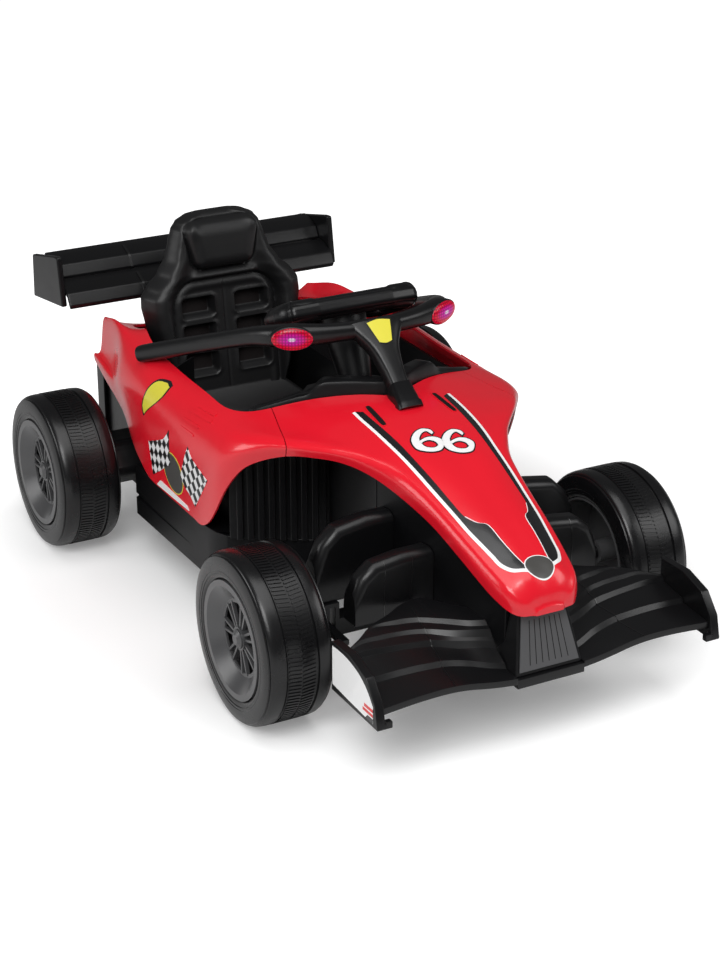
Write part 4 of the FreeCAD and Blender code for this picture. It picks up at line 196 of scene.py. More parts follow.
def new_look(name, inputs):
    """A new material, its node tree and its Principled shader with the given inputs."""
    look = bpy.data.materials.new(name)
    look.use_nodes = True
    tree = look.node_tree
    return look, tree, feed(tree, tree.nodes["Principled BSDF"], inputs)


floor_look, tree, paper = new_look("paper_floor", {
    "Base Color": (0.8, 0.8, 0.8, 1), "Roughness": 0.9, "Specular IOR Level": 0.1, "Emission Color": (1, 1, 1, 1)})
eye = add_node(tree, "LightPath").outputs["Is Camera Ray"]
spot = add_node(tree, "TexCoord").outputs["Object"]
away = add_node(tree, "VectorMath", {0: spot}, operation="LENGTH").outputs["Value"]
# the camera-only glow is weakest near the car, which paints darker shade round it
fade = add_node(tree, "MapRange", {"Value": away, "From Min": 0.35, "From Max": 1.0, "To Min": 0.18, "To Max": 0.9},
                interpolation_type="SMOOTHSTEP")
lift = add_node(tree, "Math", {0: eye, 1: fade.outputs["Result"]}, operation="MULTIPLY")
feed(tree, paper, {"Emission Strength": lift.outputs[0]})
bm = bmesh.new()
bmesh.ops.create_grid(bm, x_segments=2, y_segments=2, size=FLOOR_HALF)
floor = new_piece("studio_floor", bm, floor_look)
floor.location = (0, 0, FLOOR_Z)
floor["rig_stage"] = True
print("floor", size_of(floor))

# %% [markdown]
# Moulded plastic is never one flat colour: it has faint clouds in the colour, a fine grain and patches that shine a
# little more.
# One node group makes these from three noise textures, and each material feeds it its own colour and numbers.
# The noises read Object coordinates, so they stay on the part wherever it moves.

# %% Node group for moulded plastic
COLOUR, VALUE = "NodeSocketColor", "NodeSocketFloat"
CLOUD_SCALE, PATCH_SCALE = 9.0, 23.0


def new_group(name, inputs, outputs):
    """An empty shader node group with named sockets, its inputs and its end node."""
    group = bpy.data.node_groups.new(name, "ShaderNodeTree")
    for label, kind, value in inputs:
        socket = group.interface.new_socket(label, in_out="INPUT", socket_type=kind)
        socket.default_value = value
    for label, kind in outputs:
        group.interface.new_socket(label, in_out="OUTPUT", socket_type=kind)
    return group, group.nodes.new("NodeGroupInput").outputs, group.nodes.new("NodeGroupOutput")


def add_noise(tree, where, scale, detail):
    """A noise texture on the given coordinates."""
    return add_node(tree, "TexNoise", {"Vector": where, "Scale": scale, "Detail": detail}).outputs["Fac"]


def add_math(tree, kind, *values):
    """The result of a math node on numbers or other nodes' outputs."""
    return add_node(tree, "Math", dict(enumerate(values)), operation=kind).outputs[0]


moulded, given, end = new_group(
    "moulded_plastic",
    [("Colour", COLOUR, (1, 1, 1, 1)), ("Cloud", VALUE, 0.1),
     ("Dull", VALUE, 0.4), ("Patchy", VALUE, 0.1), ("Grain", VALUE, 500.0)],
    [("Colour", COLOUR), ("Roughness", VALUE), ("Height", VALUE)])
where = add_node(moulded, "TexCoord").outputs["Object"]
cloud = add_math(moulded, "SUBTRACT", add_noise(moulded, where, CLOUD_SCALE, 3.0), 0.5)
shade = add_math(moulded, "MULTIPLY_ADD", cloud, given["Cloud"], 1.0)
tint = add_node(moulded, "VectorMath", {0: given["Colour"], "Scale": shade}, operation="SCALE")
patch = add_math(moulded, "SUBTRACT", add_noise(moulded, where, PATCH_SCALE, 4.0), 0.5)
gloss = add_math(moulded, "MULTIPLY", patch, given["Patchy"])
feed(moulded, end, {"Colour": tint.outputs[0], "Roughness": add_math(moulded, "ADD", gloss, given["Dull"]),
                    "Height": add_noise(moulded, where, given["Grain"], 2.0)})
print("node group", moulded.name, len(moulded.nodes), "nodes")

# %% [markdown]
# Every plastic, metal and sticker is the same recipe with other numbers, one row of a table each.
# A bump node turns the grain's height into tiny slopes, so a satin part breaks up its highlights and a glossy one
# keeps them clean.

# %% Materials
GRAIN_DEPTH, COAT_ROUGHNESS = 0.0005, 0.08


def add_bumps(tree, shader, height, strength, depth):
    """Turn a height into slopes of the shader's surface."""
    bumps = add_node(tree, "Bump", {"Strength": strength, "Distance": depth, "Height": height})
    feed(tree, shader, {"Normal": bumps.outputs["Normal"]})


def make_look(name, colour, dull, cloud, patchy, grain, bump, metallic, coat, shine):
    """A Principled material whose colour, roughness and grain come from the moulded group."""
    look, tree, shader = new_look(name, {"Metallic": metallic, "Coat Weight": coat,
                                         "Coat Roughness": COAT_ROUGHNESS, "Specular IOR Level": shine})
    skin = add_node(tree, "Group", {"Colour": (*colour, 1), "Cloud": cloud, "Dull": dull, "Patchy": patchy,
                                    "Grain": grain}, node_tree=moulded).outputs
    feed(tree, shader, {"Base Color": skin["Colour"], "Roughness": skin["Roughness"]})
    add_bumps(tree, shader, skin["Height"], bump, GRAIN_DEPTH)
    return look


# colour, dullness, cloud, patches, grain per metre, bump, metal, coat, shine
FINISHES = {
    "red_plastic": ((0.68, 0.008, 0.02), 0.25, 0.1, 0.06, 900, 0.03, 0.0, 0.2, 0.45),
    "black_plastic": ((0.0045, 0.0045, 0.005), 0.31, 0.3, 0.1, 700, 0.1, 0.0, 0.0, 0.32),
    "grille_grey": ((0.07, 0.07, 0.073), 0.45, 0.2, 0.14, 700, 0.16, 0.0, 0.0, 0.5),
    "red_button": ((0.6, 0.02, 0.02), 0.25, 0.1, 0.06, 900, 0.03, 0.0, 0.3, 0.5),
    "yellow_button": ((0.75, 0.5, 0.03), 0.25, 0.1, 0.06, 900, 0.03, 0.0, 0.3, 0.5),
    "steel": ((0.5, 0.5, 0.52), 0.3, 0.2, 0.2, 900, 0.08, 1.0, 0.0, 0.5),
    "nylon_gear": ((0.76, 0.75, 0.7), 0.5, 0.1, 0.1, 600, 0.08, 0.0, 0.0, 0.5),
    "motor_can": ((0.3, 0.3, 0.32), 0.35, 0.2, 0.15, 900, 0.08, 0.9, 0.0, 0.5),
    "tyre_plastic": ((0.0045, 0.0045, 0.005), 0.28, 0.3, 0.12, 800, 0.12, 0.0, 0.0, 0.4),
    "rim_plastic": ((0.06, 0.06, 0.062), 0.3, 0.2, 0.12, 800, 0.08, 0.0, 0.0, 0.5),
    "seat_plastic": ((0.006, 0.006, 0.0065), 0.47, 0.3, 0.1, 500, 0.16, 0.0, 0.0, 0.4),
    "black_gloss": ((0.007, 0.007, 0.0075), 0.24, 0.3, 0.08, 800, 0.05, 0.0, 0.0, 0.5),
    "black_matt": ((0.0035, 0.0035, 0.004), 0.38, 0.3, 0.1, 700, 0.1, 0.0, 0.0, 0.16),
    "white_sticker": ((0.82, 0.82, 0.82), 0.3, 0.04, 0.05, 900, 0.02, 0.0, 0.3, 0.5),
    "black_sticker": ((0.01, 0.01, 0.011), 0.26, 0.2, 0.06, 900, 0.02, 0.0, 0.2, 0.5),
    "grey_sticker": ((0.06, 0.058, 0.055), 0.3, 0.2, 0.06, 900, 0.02, 0.0, 0.3, 0.5),
    "yellow_sticker": ((0.66, 0.6, 0.05), 0.3, 0.16, 0.06, 900, 0.02, 0.0, 0.3, 0.5),
    "red_sticker": ((0.66, 0.02, 0.02), 0.3, 0.1, 0.06, 900, 0.02, 0.0, 0.3, 0.5),
    # painted shade: a near-black film laid in slots, grooves and window floors
    "painted_recess_shade": ((0.006, 0.004, 0.004), 0.7, 0.2, 0.1, 500, 0.1, 0.0, 0.0, 0.2),
}
LOOKS = {name: make_look(name, *finish) for name, finish in FINISHES.items()}
print("materials", sorted(LOOKS))

# %% [markdown]
# The two lamps on the safety arch glow pink through a lens with a fine square grid.
# A second group finds how far a point is from the middle of its lamp, paints a white highlight at the centre, and
# draws the grid from two saw-tooth lines.
# Both lamps use it, because it takes the absolute value of x and so sees left and right alike.

# %% Node group for the glowing lens
LAMP_X, LAMP_Y, LAMP_Z = 0.129, -0.110, 0.454
LAMP_PITCH = 0.0046
LENS_COS, LENS_SIN = 0.899, 0.438
LENS_LONG, LENS_TALL = 0.03, 0.015
# colour of the painted white highlight at the middle of each lens
PAINTED_HIGHLIGHT = (1.0, 0.9, 1.0, 1.0)
lens_group, given, end = new_group(
    "lens_glow",
    [("Rim Colour", COLOUR, (0.70, 0.003, 0.03, 1)), ("Middle Colour", COLOUR, (0.60, 0.008, 0.45, 1))],
    [("Colour", COLOUR), ("Height", VALUE)])


def lens_math(kind, *values):
    """A math node in the lens group."""
    return add_math(lens_group, kind, *values)


def lens_ramp(value, top, low=0.0):
    """A straight ramp from low, where the value is 0, to 1 at top."""
    return add_node(lens_group, "MapRange", {"Value": value, "From Max": top, "To Min": low}).outputs["Result"]


def lens_mix(share, first, second):
    """A colour between two; sockets 6 and 7 of the node are its colours, and output 2 its result."""
    return add_node(lens_group, "Mix", {"Factor": share, 6: first, 7: second}, data_type="RGBA").outputs[2]


where = add_node(lens_group, "TexCoord").outputs["Object"]
split = add_node(lens_group, "SeparateXYZ", {0: where}).outputs
across = lens_math("SUBTRACT", lens_math("ABSOLUTE", split["X"]), LAMP_X)
along = lens_math("SUBTRACT", split["Y"], LAMP_Y)
slant = lens_math("ADD", lens_math("MULTIPLY", across, LENS_COS), lens_math("MULTIPLY", along, LENS_SIN))
upward = lens_math("SUBTRACT", split["Z"], LAMP_Z)
waves = [lens_math("PINGPONG", line, LAMP_PITCH / 2) for line in (slant, upward)]
cell = lens_math("MINIMUM", *[lens_math("DIVIDE", wave, LAMP_PITCH / 2) for wave in waves])
shares = [lens_math("DIVIDE", slant, LENS_LONG), lens_math("DIVIDE", upward, LENS_TALL)]
far = lens_math("ADD", *[lens_math("POWER", share, 2.0) for share in shares])
blend = lens_mix(lens_ramp(far, 0.6), given["Middle Colour"], given["Rim Colour"])
# a painted white highlight at the middle of each lens
highlighted = lens_mix(lens_ramp(far, 0.05), PAINTED_HIGHLIGHT, blend)
dim = add_node(lens_group, "VectorMath", {0: highlighted, "Scale": lens_ramp(cell, 0.5, 0.30)}, operation="SCALE")
feed(lens_group, end, {"Colour": dim.outputs[0], "Height": cell})

LOOKS["lens_pink"], tree, shader = new_look("lens_pink", {
    "Roughness": 0.15, "Emission Strength": 0.85, "Base Color": (0.03, 0.001, 0.006, 1), "Specular IOR Level": 0.3})
glow = add_node(tree, "Group", node_tree=lens_group).outputs
feed(tree, shader, {"Emission Color": glow["Colour"]})
add_bumps(tree, shader, glow["Height"], 0.3, 0.0006)
print("lens material with grid pitch", LAMP_PITCH)

# %% [markdown]
# The flags on the flanks are chequered black and white.
# A checker texture does this without a picture; turning its coordinates leans the chequers with each flag.

# %% Node group for the chequers
FLAG_LEAN = math.radians(38.0)
chequer, given, end = new_group(
    "chequer",
    [("Lean", VALUE, 0.0), ("Cells per metre", VALUE, 90.0)],
    [("Colour", COLOUR)])
where = add_node(chequer, "TexCoord").outputs["Object"]
turn = add_node(chequer, "VectorRotate", {"Vector": where, "Angle": given["Lean"]}, rotation_type="X_AXIS")
flat = add_node(chequer, "VectorMath", {0: turn.outputs[0], 1: (0.0, 1.0, 0.75)}, operation="MULTIPLY")
squares = add_node(chequer, "TexChecker", {
    "Vector": flat.outputs[0], "Scale": given["Cells per metre"],
    "Color1": (0.8, 0.8, 0.8, 1), "Color2": (0.008, 0.008, 0.008, 1)})
feed(chequer, end, {"Colour": squares.outputs["Color"]})
for name, lean in (("front_flag", FLAG_LEAN), ("rear_flag", -FLAG_LEAN)):
    LOOKS[name], tree, shader = new_look(name, {"Roughness": 0.3, "Coat Weight": 0.3})
    ink = add_node(tree, "Group", {"Lean": lean}, node_tree=chequer)
    feed(tree, shader, {"Base Color": ink.outputs["Colour"]})
print("flag materials made")

# %% [markdown]
# A real moulding has no knife edges, and a small round on each edge is what catches the studio light.
# The CAD mesh arrives as loose triangles, so a copy is merged, its flat triangles are joined into whole faces, and
# every sharp edge is bevelled.
# The copy then stands for the CAD node and rides on the same body.

# %% Rounded copies of the CAD mouldings
MERGE, BOX_SLACK = 0.00002, 0.0005
SHARP_EDGE, FLAT_JOIN = math.radians(30.0), math.radians(1.2)


def smooth(piece, angle=38.0):
    """Smooth shading that keeps edges sharper than the angle crisp."""
    piece.data.shade_smooth()
    piece.data.set_sharp_from_angle(angle=math.radians(angle))
    return piece


def stand_in(piece, node):
    """The piece takes the place, body and finish of one CAD node."""
    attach(piece, nodes[node]["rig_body"])
    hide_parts(node)
    return piece


def round_edges(bm, angle, width, segments, clamp):
    """Bevel every edge that is sharper than the angle."""
    sharp = [e for e in bm.edges if e.is_manifold and e.calc_face_angle(0.0) > angle]
    bmesh.ops.bevel(bm, geom=sharp, offset=width, offset_type="OFFSET", segments=segments,
                    profile=0.5, affect="EDGES", clamp_overlap=clamp, material=-1)


def bevelled(node, width, clamp):
    """A merged copy of a CAD node's mesh with its sharp edges bevelled."""
    bm = bmesh.new()
    bm.from_mesh(nodes[node].data)
    bmesh.ops.remove_doubles(bm, verts=bm.verts[:], dist=MERGE)
    bmesh.ops.dissolve_degenerate(bm, edges=bm.edges[:], dist=MERGE)
    bmesh.ops.dissolve_limit(bm, angle_limit=FLAT_JOIN, verts=bm.verts[:], edges=bm.edges[:])
    round_edges(bm, SHARP_EDGE, width, 2, clamp)
    return bm


def rounded(node, width):
    """A rounded copy that stands for the CAD node; a bevel that would leave the node's own box is held back."""
    low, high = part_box(node)
    for share, clamp in ((1.0, False), (0.5, False), (1.0, True)):
        bm = bevelled(node, width * share, clamp)
        inside = all(low[i] - BOX_SLACK < v.co[i] < high[i] + BOX_SLACK for v in bm.verts for i in range(3))
        if inside or clamp:
            break
        bm.free()
    piece = new_piece(node + "_moulded", bm, LOOKS["black_plastic"])
    even = piece.modifiers.new("even_shading", "WEIGHTED_NORMAL")
    even.keep_sharp = True
    return stand_in(smooth(piece), node), f"by {width * share:.4f}{' held' if clamp else ''}"


ROUNDED = {
    "nose_pylon": 0.0015, "nose_box": 0.0015,
    "wing_endplate_left": 0.003, "wing_endplate_right": 0.003,
    "front_fairing_left": 0.0018, "front_fairing_right": 0.0018,
    "side_sill_left": 0.0018, "side_sill_right": 0.0018,
    "rear_wing_main": 0.002, "rear_wing_flap": 0.002,
    "rear_endplate_left": 0.0025, "rear_endplate_right": 0.0025,
    "dash_panel": 0.0012,
    "tail_panel": 0.0015, "radiators": 0.0008,
}
DEEP_BLACK = ("side_sill_left", "side_sill_right", "nose_box")
for node, width in ROUNDED.items():
    piece, how = rounded(node, width)
    if node in DEEP_BLACK:
        piece.data.materials[0] = LOOKS["black_matt"]
    print(node, "rounded", how, "to", len(piece.data.polygons), "faces")

# %% [markdown]
# Stickers follow the curve of the shell under them.
# Each one is a flat ribbon between two edge lines, cut into a fine grid, and every grid point is dropped onto the
# shell with a ray.
# A little lift keeps the sticker clear of the skin, and its border is turned down so that it has an edge.

# %% Stickers that lie on the shells
SKINS = {}
FACING = {"top": Vector((0, 0, 1)), "front": Vector((0, -1, 0)),
          "right": Vector((-1, 0, 0)), "left": Vector((1, 0, 0))}
RAY_FROM = 0.8


def skin(node):
    """A ray-casting tree of one CAD node or of a piece made here."""
    if node not in SKINS:
        mesh = nodes[node].data if node in nodes else bpy.data.objects[node].data
        SKINS[node] = BVHTree.FromPolygons([v.co for v in mesh.vertices],
                                           [p.vertices[:] for p in mesh.polygons])
    return SKINS[node]


def flow(points, count):
    """A smooth line of count points through the given ones (Catmull-Rom)."""
    line = []
    ends = [points[0]] + list(points) + [points[-1]]
    for step in range(count):
        place = step / (count - 1) * (len(points) - 1)
        first = min(int(place), len(points) - 2)
        t = place - first
        a, b, c, d = [Vector(p) for p in ends[first:first + 4]]
        line.append(0.5 * (2 * b + (c - a) * t + (2 * a - 5 * b + 4 * c - d) * t * t
                           + (3 * b - a - 3 * c + d) * t ** 3))
    return line


def land(spot, side, tree):
    """The point of the skin under a flat sticker point, seen from the given side, and its normal."""
    out = FACING[side]
    if side == "top":
        start = Vector((spot[0], spot[1], 0))
    elif side == "front":
        start = Vector((spot[0], 0, spot[1]))
    else:
        start = Vector((0, spot[0], spot[1]))
    place, normal = tree.ray_cast(start + out * RAY_FROM, -out)[:2]
    return place, normal if place is None or normal.dot(out) > 0 else -normal


def skirt(bm, depth):
    """Turn a film's border down to the skin, so that it has an edge of its own."""
    bm.normal_update()
    border = [e for e in bm.edges if e.is_boundary]
    down = {v: v.normal.copy() for e in border for v in e.verts}
    made = bmesh.ops.extrude_edge_only(bm, edges=border)["geom"]
    for vert in (g for g in made if isinstance(g, bmesh.types.BMVert)):
        near = min(down, key=lambda v: (v.co - vert.co).length_squared)
        vert.co -= down[near] * depth


def sticker(name, edges, side, node, look, lift=0.0004, across=4, along=16):
    """A film between two edge lines, dropped onto a CAD node or a piece made here."""
    tree = skin(node)
    lines = [flow(edge, along + 1) for edge in edges]
    bm = bmesh.new()
    missed = []
    for vert in bmesh.ops.create_grid(bm, x_segments=across, y_segments=along, size=1.0)["verts"]:
        i, j = round((vert.co.x + 1) / 2 * across), round((vert.co.y + 1) / 2 * along)
        place, normal = land(lines[0][j].lerp(lines[1][j], i / across), side, tree)
        if place:
            vert.co = place + normal * lift
        else:
            missed.append(vert)
    bmesh.ops.delete(bm, geom=missed, context="VERTS")
    bmesh.ops.remove_doubles(bm, verts=bm.verts[:], dist=MERGE)
    bmesh.ops.recalc_face_normals(bm, faces=bm.faces[:])
    bm.normal_update()
    if sum((f.normal for f in bm.faces), Vector()).dot(FACING[side]) < 0:
        bmesh.ops.reverse_faces(bm, faces=bm.faces[:])
    skirt(bm, lift)
    piece = smooth(new_piece(name, bm, LOOKS[look]), 50.0)
    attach(piece, "chassis")


def both_sides(name, edges, look, **more):
    """The same sticker on the right and the left flank of the body."""
    for side in ("right", "left"):
        sticker(f"{name}_{side}", edges, side, "body_shell", look, **more)


def mirrored(name, edges, node, look, **more):
    """A sticker seen from above and its mirror image across the car's middle."""
    sticker(name + "_left", edges, "top", node, look, **more)
    flip = [[(-x, y) for x, y in edge] for edge in edges]
    sticker(name + "_right", flip, "top", node, look, **more)


print("sticker helpers ready")

# %% [markdown]
# Down each side of the nose runs a white line with a black band inside it; near the tip the band steps inward and
# grows wide.
# The edges are points (x, y) in millimetres on the left side, read off the picture, and mirrored.

# %% Nose stripes


def mm(table):
    """Millimetres as metres: one number, or every number in a table."""
    return table / 1000 if isinstance(table, (int, float)) else type(table)(mm(item) for item in table)


WHITE_EDGE = mm([(80.5, -204), (80.5, -236), (77.2, -297), (71.5, -353), (67.2, -402), (62.2, -450.5),
                 (58.2, -491), (53.6, -520), (50.2, -541), (47, -558), (37, -575.5), (19.5, -586)])
BLACK_INNER = mm([(66.5, -211), (65.5, -240), (62.2, -297), (58.5, -353), (54.8, -402), (52, -440), (49, -468),
                  (40.5, -486), (30, -497.5), (27.2, -525), (24, -550), (18.5, -579)])
WHITE_WIDTH = 0.0046
THIN_SHIFT = (-0.0012, -0.0004)
THIN_FROM = 6


def beside(points, gap):
    """The same line shifted sideways by gap metres, towards its left hand."""
    shifted = []
    for i, point in enumerate(points):
        back, ahead = Vector(points[max(i - 1, 0)]), Vector(points[min(i + 1, len(points) - 1)])
        way = (ahead - back).normalized()
        shifted.append((point[0] + way.y * gap, point[1] - way.x * gap))
    return shifted


band_edge = beside(WHITE_EDGE, WHITE_WIDTH)
mirrored("nose_white_line", [WHITE_EDGE, band_edge], "nose_cover", "white_sticker", along=70, across=3)
mirrored("nose_black_band", [band_edge, BLACK_INNER], "nose_cover", "black_sticker", along=70, across=8)
inner_line = BLACK_INNER[THIN_FROM:]
thin_line = [(x + THIN_SHIFT[0], y + THIN_SHIFT[1]) for x, y in inner_line]
mirrored("nose_thin_line", [inner_line, thin_line], "nose_cover", "white_sticker", along=40, across=2)
print("nose stripes from y", WHITE_EDGE[0][1], "to", WHITE_EDGE[-1][1])

# %% [markdown]
# A dark oval badge without any print closes the stripes at the tip, and two slots with raised lips sit beside the
# arch foot; the inside of each slot is a near-black film of painted shade.
# An oval or a slot is also a ribbon: its upper half and lower half are the two edge lines.

# %% Nose badge and slots
BADGE_MIDDLE, SLOT_MIDDLE = (0, -0.5805), (0.0562, -0.230)
SLOT_TURN, SLOT_BULGE = math.radians(93.0), 2.2


def oval(middle, half_x, half_y, turn=0.0, bulge=1.0, count=13):
    """Two edge lines of an oval; bulge above 1 squares it off towards a slot."""
    edges = []
    for side in (1, -1):
        edge = []
        for step in range(count):
            a = math.pi * step / (count - 1)
            x = math.copysign(abs(math.cos(a)) ** (1 / bulge), math.cos(a)) * half_x
            y = side * math.sin(a) ** (1 / bulge) * half_y
            edge.append((middle[0] + x * math.cos(turn) - y * math.sin(turn),
                         middle[1] + x * math.sin(turn) + y * math.cos(turn)))
        edges.append(edge)
    return edges


sticker("nose_badge_ring", oval(BADGE_MIDDLE, 0.0212, 0.0172), "top", "nose_cover", "white_sticker",
        lift=0.0007, across=8, along=24)
sticker("nose_badge", oval(BADGE_MIDDLE, 0.0198, 0.0157), "top", "nose_cover", "grey_sticker",
        lift=0.0010, across=8, along=24)
mirrored("nose_slot_lip", oval(SLOT_MIDDLE, 0.0310, 0.0056, SLOT_TURN, SLOT_BULGE), "nose_cover", "red_plastic",
         lift=0.0009, across=6, along=30)
# the slot's opening is a near-black film of painted shade inside the raised lip
mirrored("nose_slot", oval(SLOT_MIDDLE, 0.0294, 0.0040, SLOT_TURN, SLOT_BULGE), "nose_cover", "painted_recess_shade",
         lift=0.0012, across=4, along=30)
print("badge and slots placed")

# %% [markdown]
# The racing number is drawn like a brush stroke: a ribbon that starts at the hook of the six and closes its bowl.
# Its two edges are listed once, and each digit is a white ribbon over a black one that is a little wider.

# %% Racing number
SIX_OUTER = mm([(17.7, 14.5), (17.2, 21.2), (12.4, 26.1), (3.9, 28.1), (-9.4, 21.7), (-21.4, 7.3), (-24, -10.3),
                (-15.6, -21.3), (-3.4, -27), (9.9, -25.1), (20.5, -9.9), (16.5, 1.6), (6.6, 6.5), (-3, 5.2),
                (-11.5, 2)])
SIX_INNER = mm([(13.7, 11.2), (12.1, 16), (9.5, 21), (2, 18.7), (-6.3, 11), (-9.8, 5.5), (-11.7, -2.1),
                (-9.7, -13.7), (0.3, -19), (8.4, -16), (9.5, -12.5), (9.1, -6.7), (3.2, -0.8), (-4.6, -0.6),
                (-12.8, -4)])
DIGIT_PLACES = [Vector((-0.0222, -0.3184)), Vector((0.0183, -0.3339))]
SIX_BORDER = 0.0024


def widened(outer, inner, gap):
    """Both edges of a stroke moved apart by gap, and its two ends lengthened by gap."""
    outer, inner = [Vector(p) for p in outer], [Vector(p) for p in inner]
    ways = [(o - i).normalized() * gap for o, i in zip(outer, inner)]
    outer, inner = [o + w for o, w in zip(outer, ways)], [i - w for i, w in zip(inner, ways)]
    for edge in (outer, inner):
        edge[0] += (edge[0] - edge[1]).normalized() * gap
        edge[-1] += (edge[-1] - edge[-2]).normalized() * gap
    return outer, inner


for i, place in enumerate(DIGIT_PLACES):
    for part, gap, lift, look in (("border", SIX_BORDER, 0.0006, "black_sticker"),
                                  ("face", 0.0, 0.0010, "white_sticker")):
        edges = [[tuple(p + place) for p in edge] for edge in widened(SIX_OUTER, SIX_INNER, gap)]
        sticker(f"number_{part}_{i + 1}", edges, "top", "nose_cover", look, lift, across=6, along=72)
print("number of", len(DIGIT_PLACES), "digits")

# %% [markdown]
# Each flank wears two crossed chequered flags, an oval and a bare plate under them, and a plain yellow shield near
# the seat.
# The edges are pairs of y and z positions, and a ray from the side drops them onto the body.

# %% Flank stickers
OVAL_MIDDLE, SHIELD_MIDDLE = (0.0575, 0.2055), (0.136, 0.301)
FRONT_FLAG = mm([[(-3.9, 272.5), (-17, 260), (-42, 252), (-73.5, 244)],
                 [(29, 211), (13, 199), (-3.2, 193), (-19.4, 180)]])
REAR_FLAG = mm([[(66.3, 273), (85.6, 253), (110.6, 241), (148, 226)],
                [(65.9, 217), (85, 206), (109.4, 190.5), (142.5, 171)]])
FLANK_PLATE = mm([[(114.3, 171.5), (64, 170), (13.8, 168.5)], [(130, 159), (69, 160.5), (7.3, 162.5)]])
SHIELD = mm([[(165, 262), (172.2, 275.9), (166.5, 297.8), (155, 316.5), (138.5, 328.5), (111.7, 333)],
             [(165, 262), (150, 275.5), (128, 292.2), (114, 304), (104, 315.7), (99, 330)]])


def shrunk(edges, middle, share):
    """Edge lines drawn in towards a middle point."""
    middle = Vector(middle)
    return [[tuple(middle + (Vector(p) - middle) * share) for p in edge] for edge in edges]


both_sides("flank_oval_rim", oval(OVAL_MIDDLE, 0.0365, 0.0335), "yellow_sticker", lift=0.0003, across=8)
both_sides("flank_oval", oval(OVAL_MIDDLE, 0.0345, 0.0315), "grey_sticker", lift=0.0005, across=8)
both_sides("front_flag", FRONT_FLAG, "front_flag", lift=0.0008, across=10)
both_sides("rear_flag", REAR_FLAG, "rear_flag", lift=0.0008, across=10)
both_sides("flank_plate", FLANK_PLATE, "white_sticker", lift=0.0011)
both_sides("shield_rim", SHIELD, "black_sticker", lift=0.0004, across=8, along=24)
both_sides("shield_face", shrunk(SHIELD, SHIELD_MIDDLE, 0.88), "yellow_sticker", lift=0.0007, across=8, along=24)
print("flank stickers placed")

# %% [markdown]
# Short raised ribs are moulded into the flank above the flags.
# They are thick stickers in the shell's own red, with rounded ends.

# %% Flank ribs
RIBS = mm([((23.2, 320.5), (-51.9, 325)),
           ((6, 330.5), (-46.6, 332.5)),
           ((31.6, 305.8), (-27.7, 309.6)),
           ((30.3, 292.2), (-17.3, 293.8))])
RIB_HALF_WIDTH = 0.0021
for i, (back, front) in enumerate(RIBS):
    middle = ((back[0] + front[0]) / 2, (back[1] + front[1]) / 2)
    turn = math.atan2(front[1] - back[1], front[0] - back[0])
    rib = oval(middle, abs(back[0] - front[0]) / 2, RIB_HALF_WIDTH, turn, SLOT_BULGE)
    both_sides(f"flank_rib_{i + 1}", rib, "red_plastic", lift=0.0012, across=4, along=26)
print("flank ribs", len(RIBS) * 2)

# %% [markdown]
# A tyre is one outline turned round its axle: smooth sidewall with ring grooves, a shoulder ridge and two grooves
# beside the tread.
# Spinning the outline with bmesh keeps the rings true, and small cross bars are then set round the tread band.
# The four tyres share the outline, each with its place baked into its mesh.

# %% Tyres
# half of the outline: distance from the middle along the axle, and from the axle
TYRE_RINGS = mm([(0, 123.6), (21.6, 123.6), (22.6, 122.0), (24.6, 122.0), (25.6, 124.7), (33, 124.5), (39.5, 123.6),
                 (43.6, 121.8), (45.4, 119.9), (45.9, 118.7), (46.9, 119.2), (48.3, 118.0), (49.5, 114.0),
                 (50.4, 109.0), (50.9, 104.0), (51.0, 99.6), (50.4, 98.7), (50.8, 97.6), (50.6, 95.2), (49.7, 94.4),
                 (50.0, 93.2), (49.2, 90.4), (48.0, 87.6), (46.6, 86.4), (44.0, 86.2)])
TYRE_STEPS, TREAD_BARS = 120, 128
BAR_SIZE, BAR_SLANT = (0.0190, 0.0028, 0.0014), math.radians(7.0)
BAR_ASIDE, BAR_RADIUS = 0.0106, 0.1242
WHEELS = {"front_left": (0.2915, -0.337), "front_right": (-0.2915, -0.337),
          "rear_left": (0.322, 0.337), "rear_right": (-0.322, 0.337)}
WHEEL_Z = 0.125


def tyre_mesh():
    """One tyre about the origin with its axle along x."""
    bm = bmesh.new()
    ring = TYRE_RINGS + [(-x, r) for x, r in reversed(TYRE_RINGS[1:])]
    verts = [bm.verts.new((x, 0, r)) for x, r in ring]
    edges = [bm.edges.new((a, b)) for a, b in zip(verts, verts[1:] + verts[:1])]
    bmesh.ops.spin(bm, geom=verts + edges, axis=(1, 0, 0), cent=(0, 0, 0), angle=2 * math.pi,
                   steps=TYRE_STEPS, use_merge=True)
    bmesh.ops.remove_doubles(bm, verts=bm.verts[:], dist=MERGE / 2)
    bmesh.ops.recalc_face_normals(bm, faces=bm.faces[:])
    for step in range(TREAD_BARS):
        for hand in (-1, 1):
            angle = 2 * math.pi * (step + 0.25 * hand) / TREAD_BARS
            place = Matrix.Rotation(angle, 4, "X") @ Matrix.Translation((hand * BAR_ASIDE, 0, BAR_RADIUS))
            place = place @ Matrix.Rotation(BAR_SLANT * hand, 4, "Z") @ Matrix.Diagonal((*BAR_SIZE, 1))
            bmesh.ops.create_cube(bm, size=1.0, matrix=place)
    return bm


for corner, (x, y) in WHEELS.items():
    bm = tyre_mesh()
    bmesh.ops.translate(bm, verts=bm.verts[:], vec=(x, y, WHEEL_Z))
    piece = smooth(new_piece("tyre_" + corner + "_ribbed", bm, LOOKS["tyre_plastic"]), 32.0)
    stand_in(piece, "tyre_" + corner)
print("tyres", len(WHEELS), "with", len(piece.data.polygons), "faces each")

# %% [markdown]
# The seat back is one blow-moulded skin: fat side bolsters, a headrest cushion, and a flat middle with two columns
# of sunken windows.
# It is easiest to sculpt as a height map: a fine grid in the plane of the backrest, pushed forward or back by
# smooth shapes added together.
# Each shape is a rounded box whose distance function says how far a point lies inside or outside its edge.

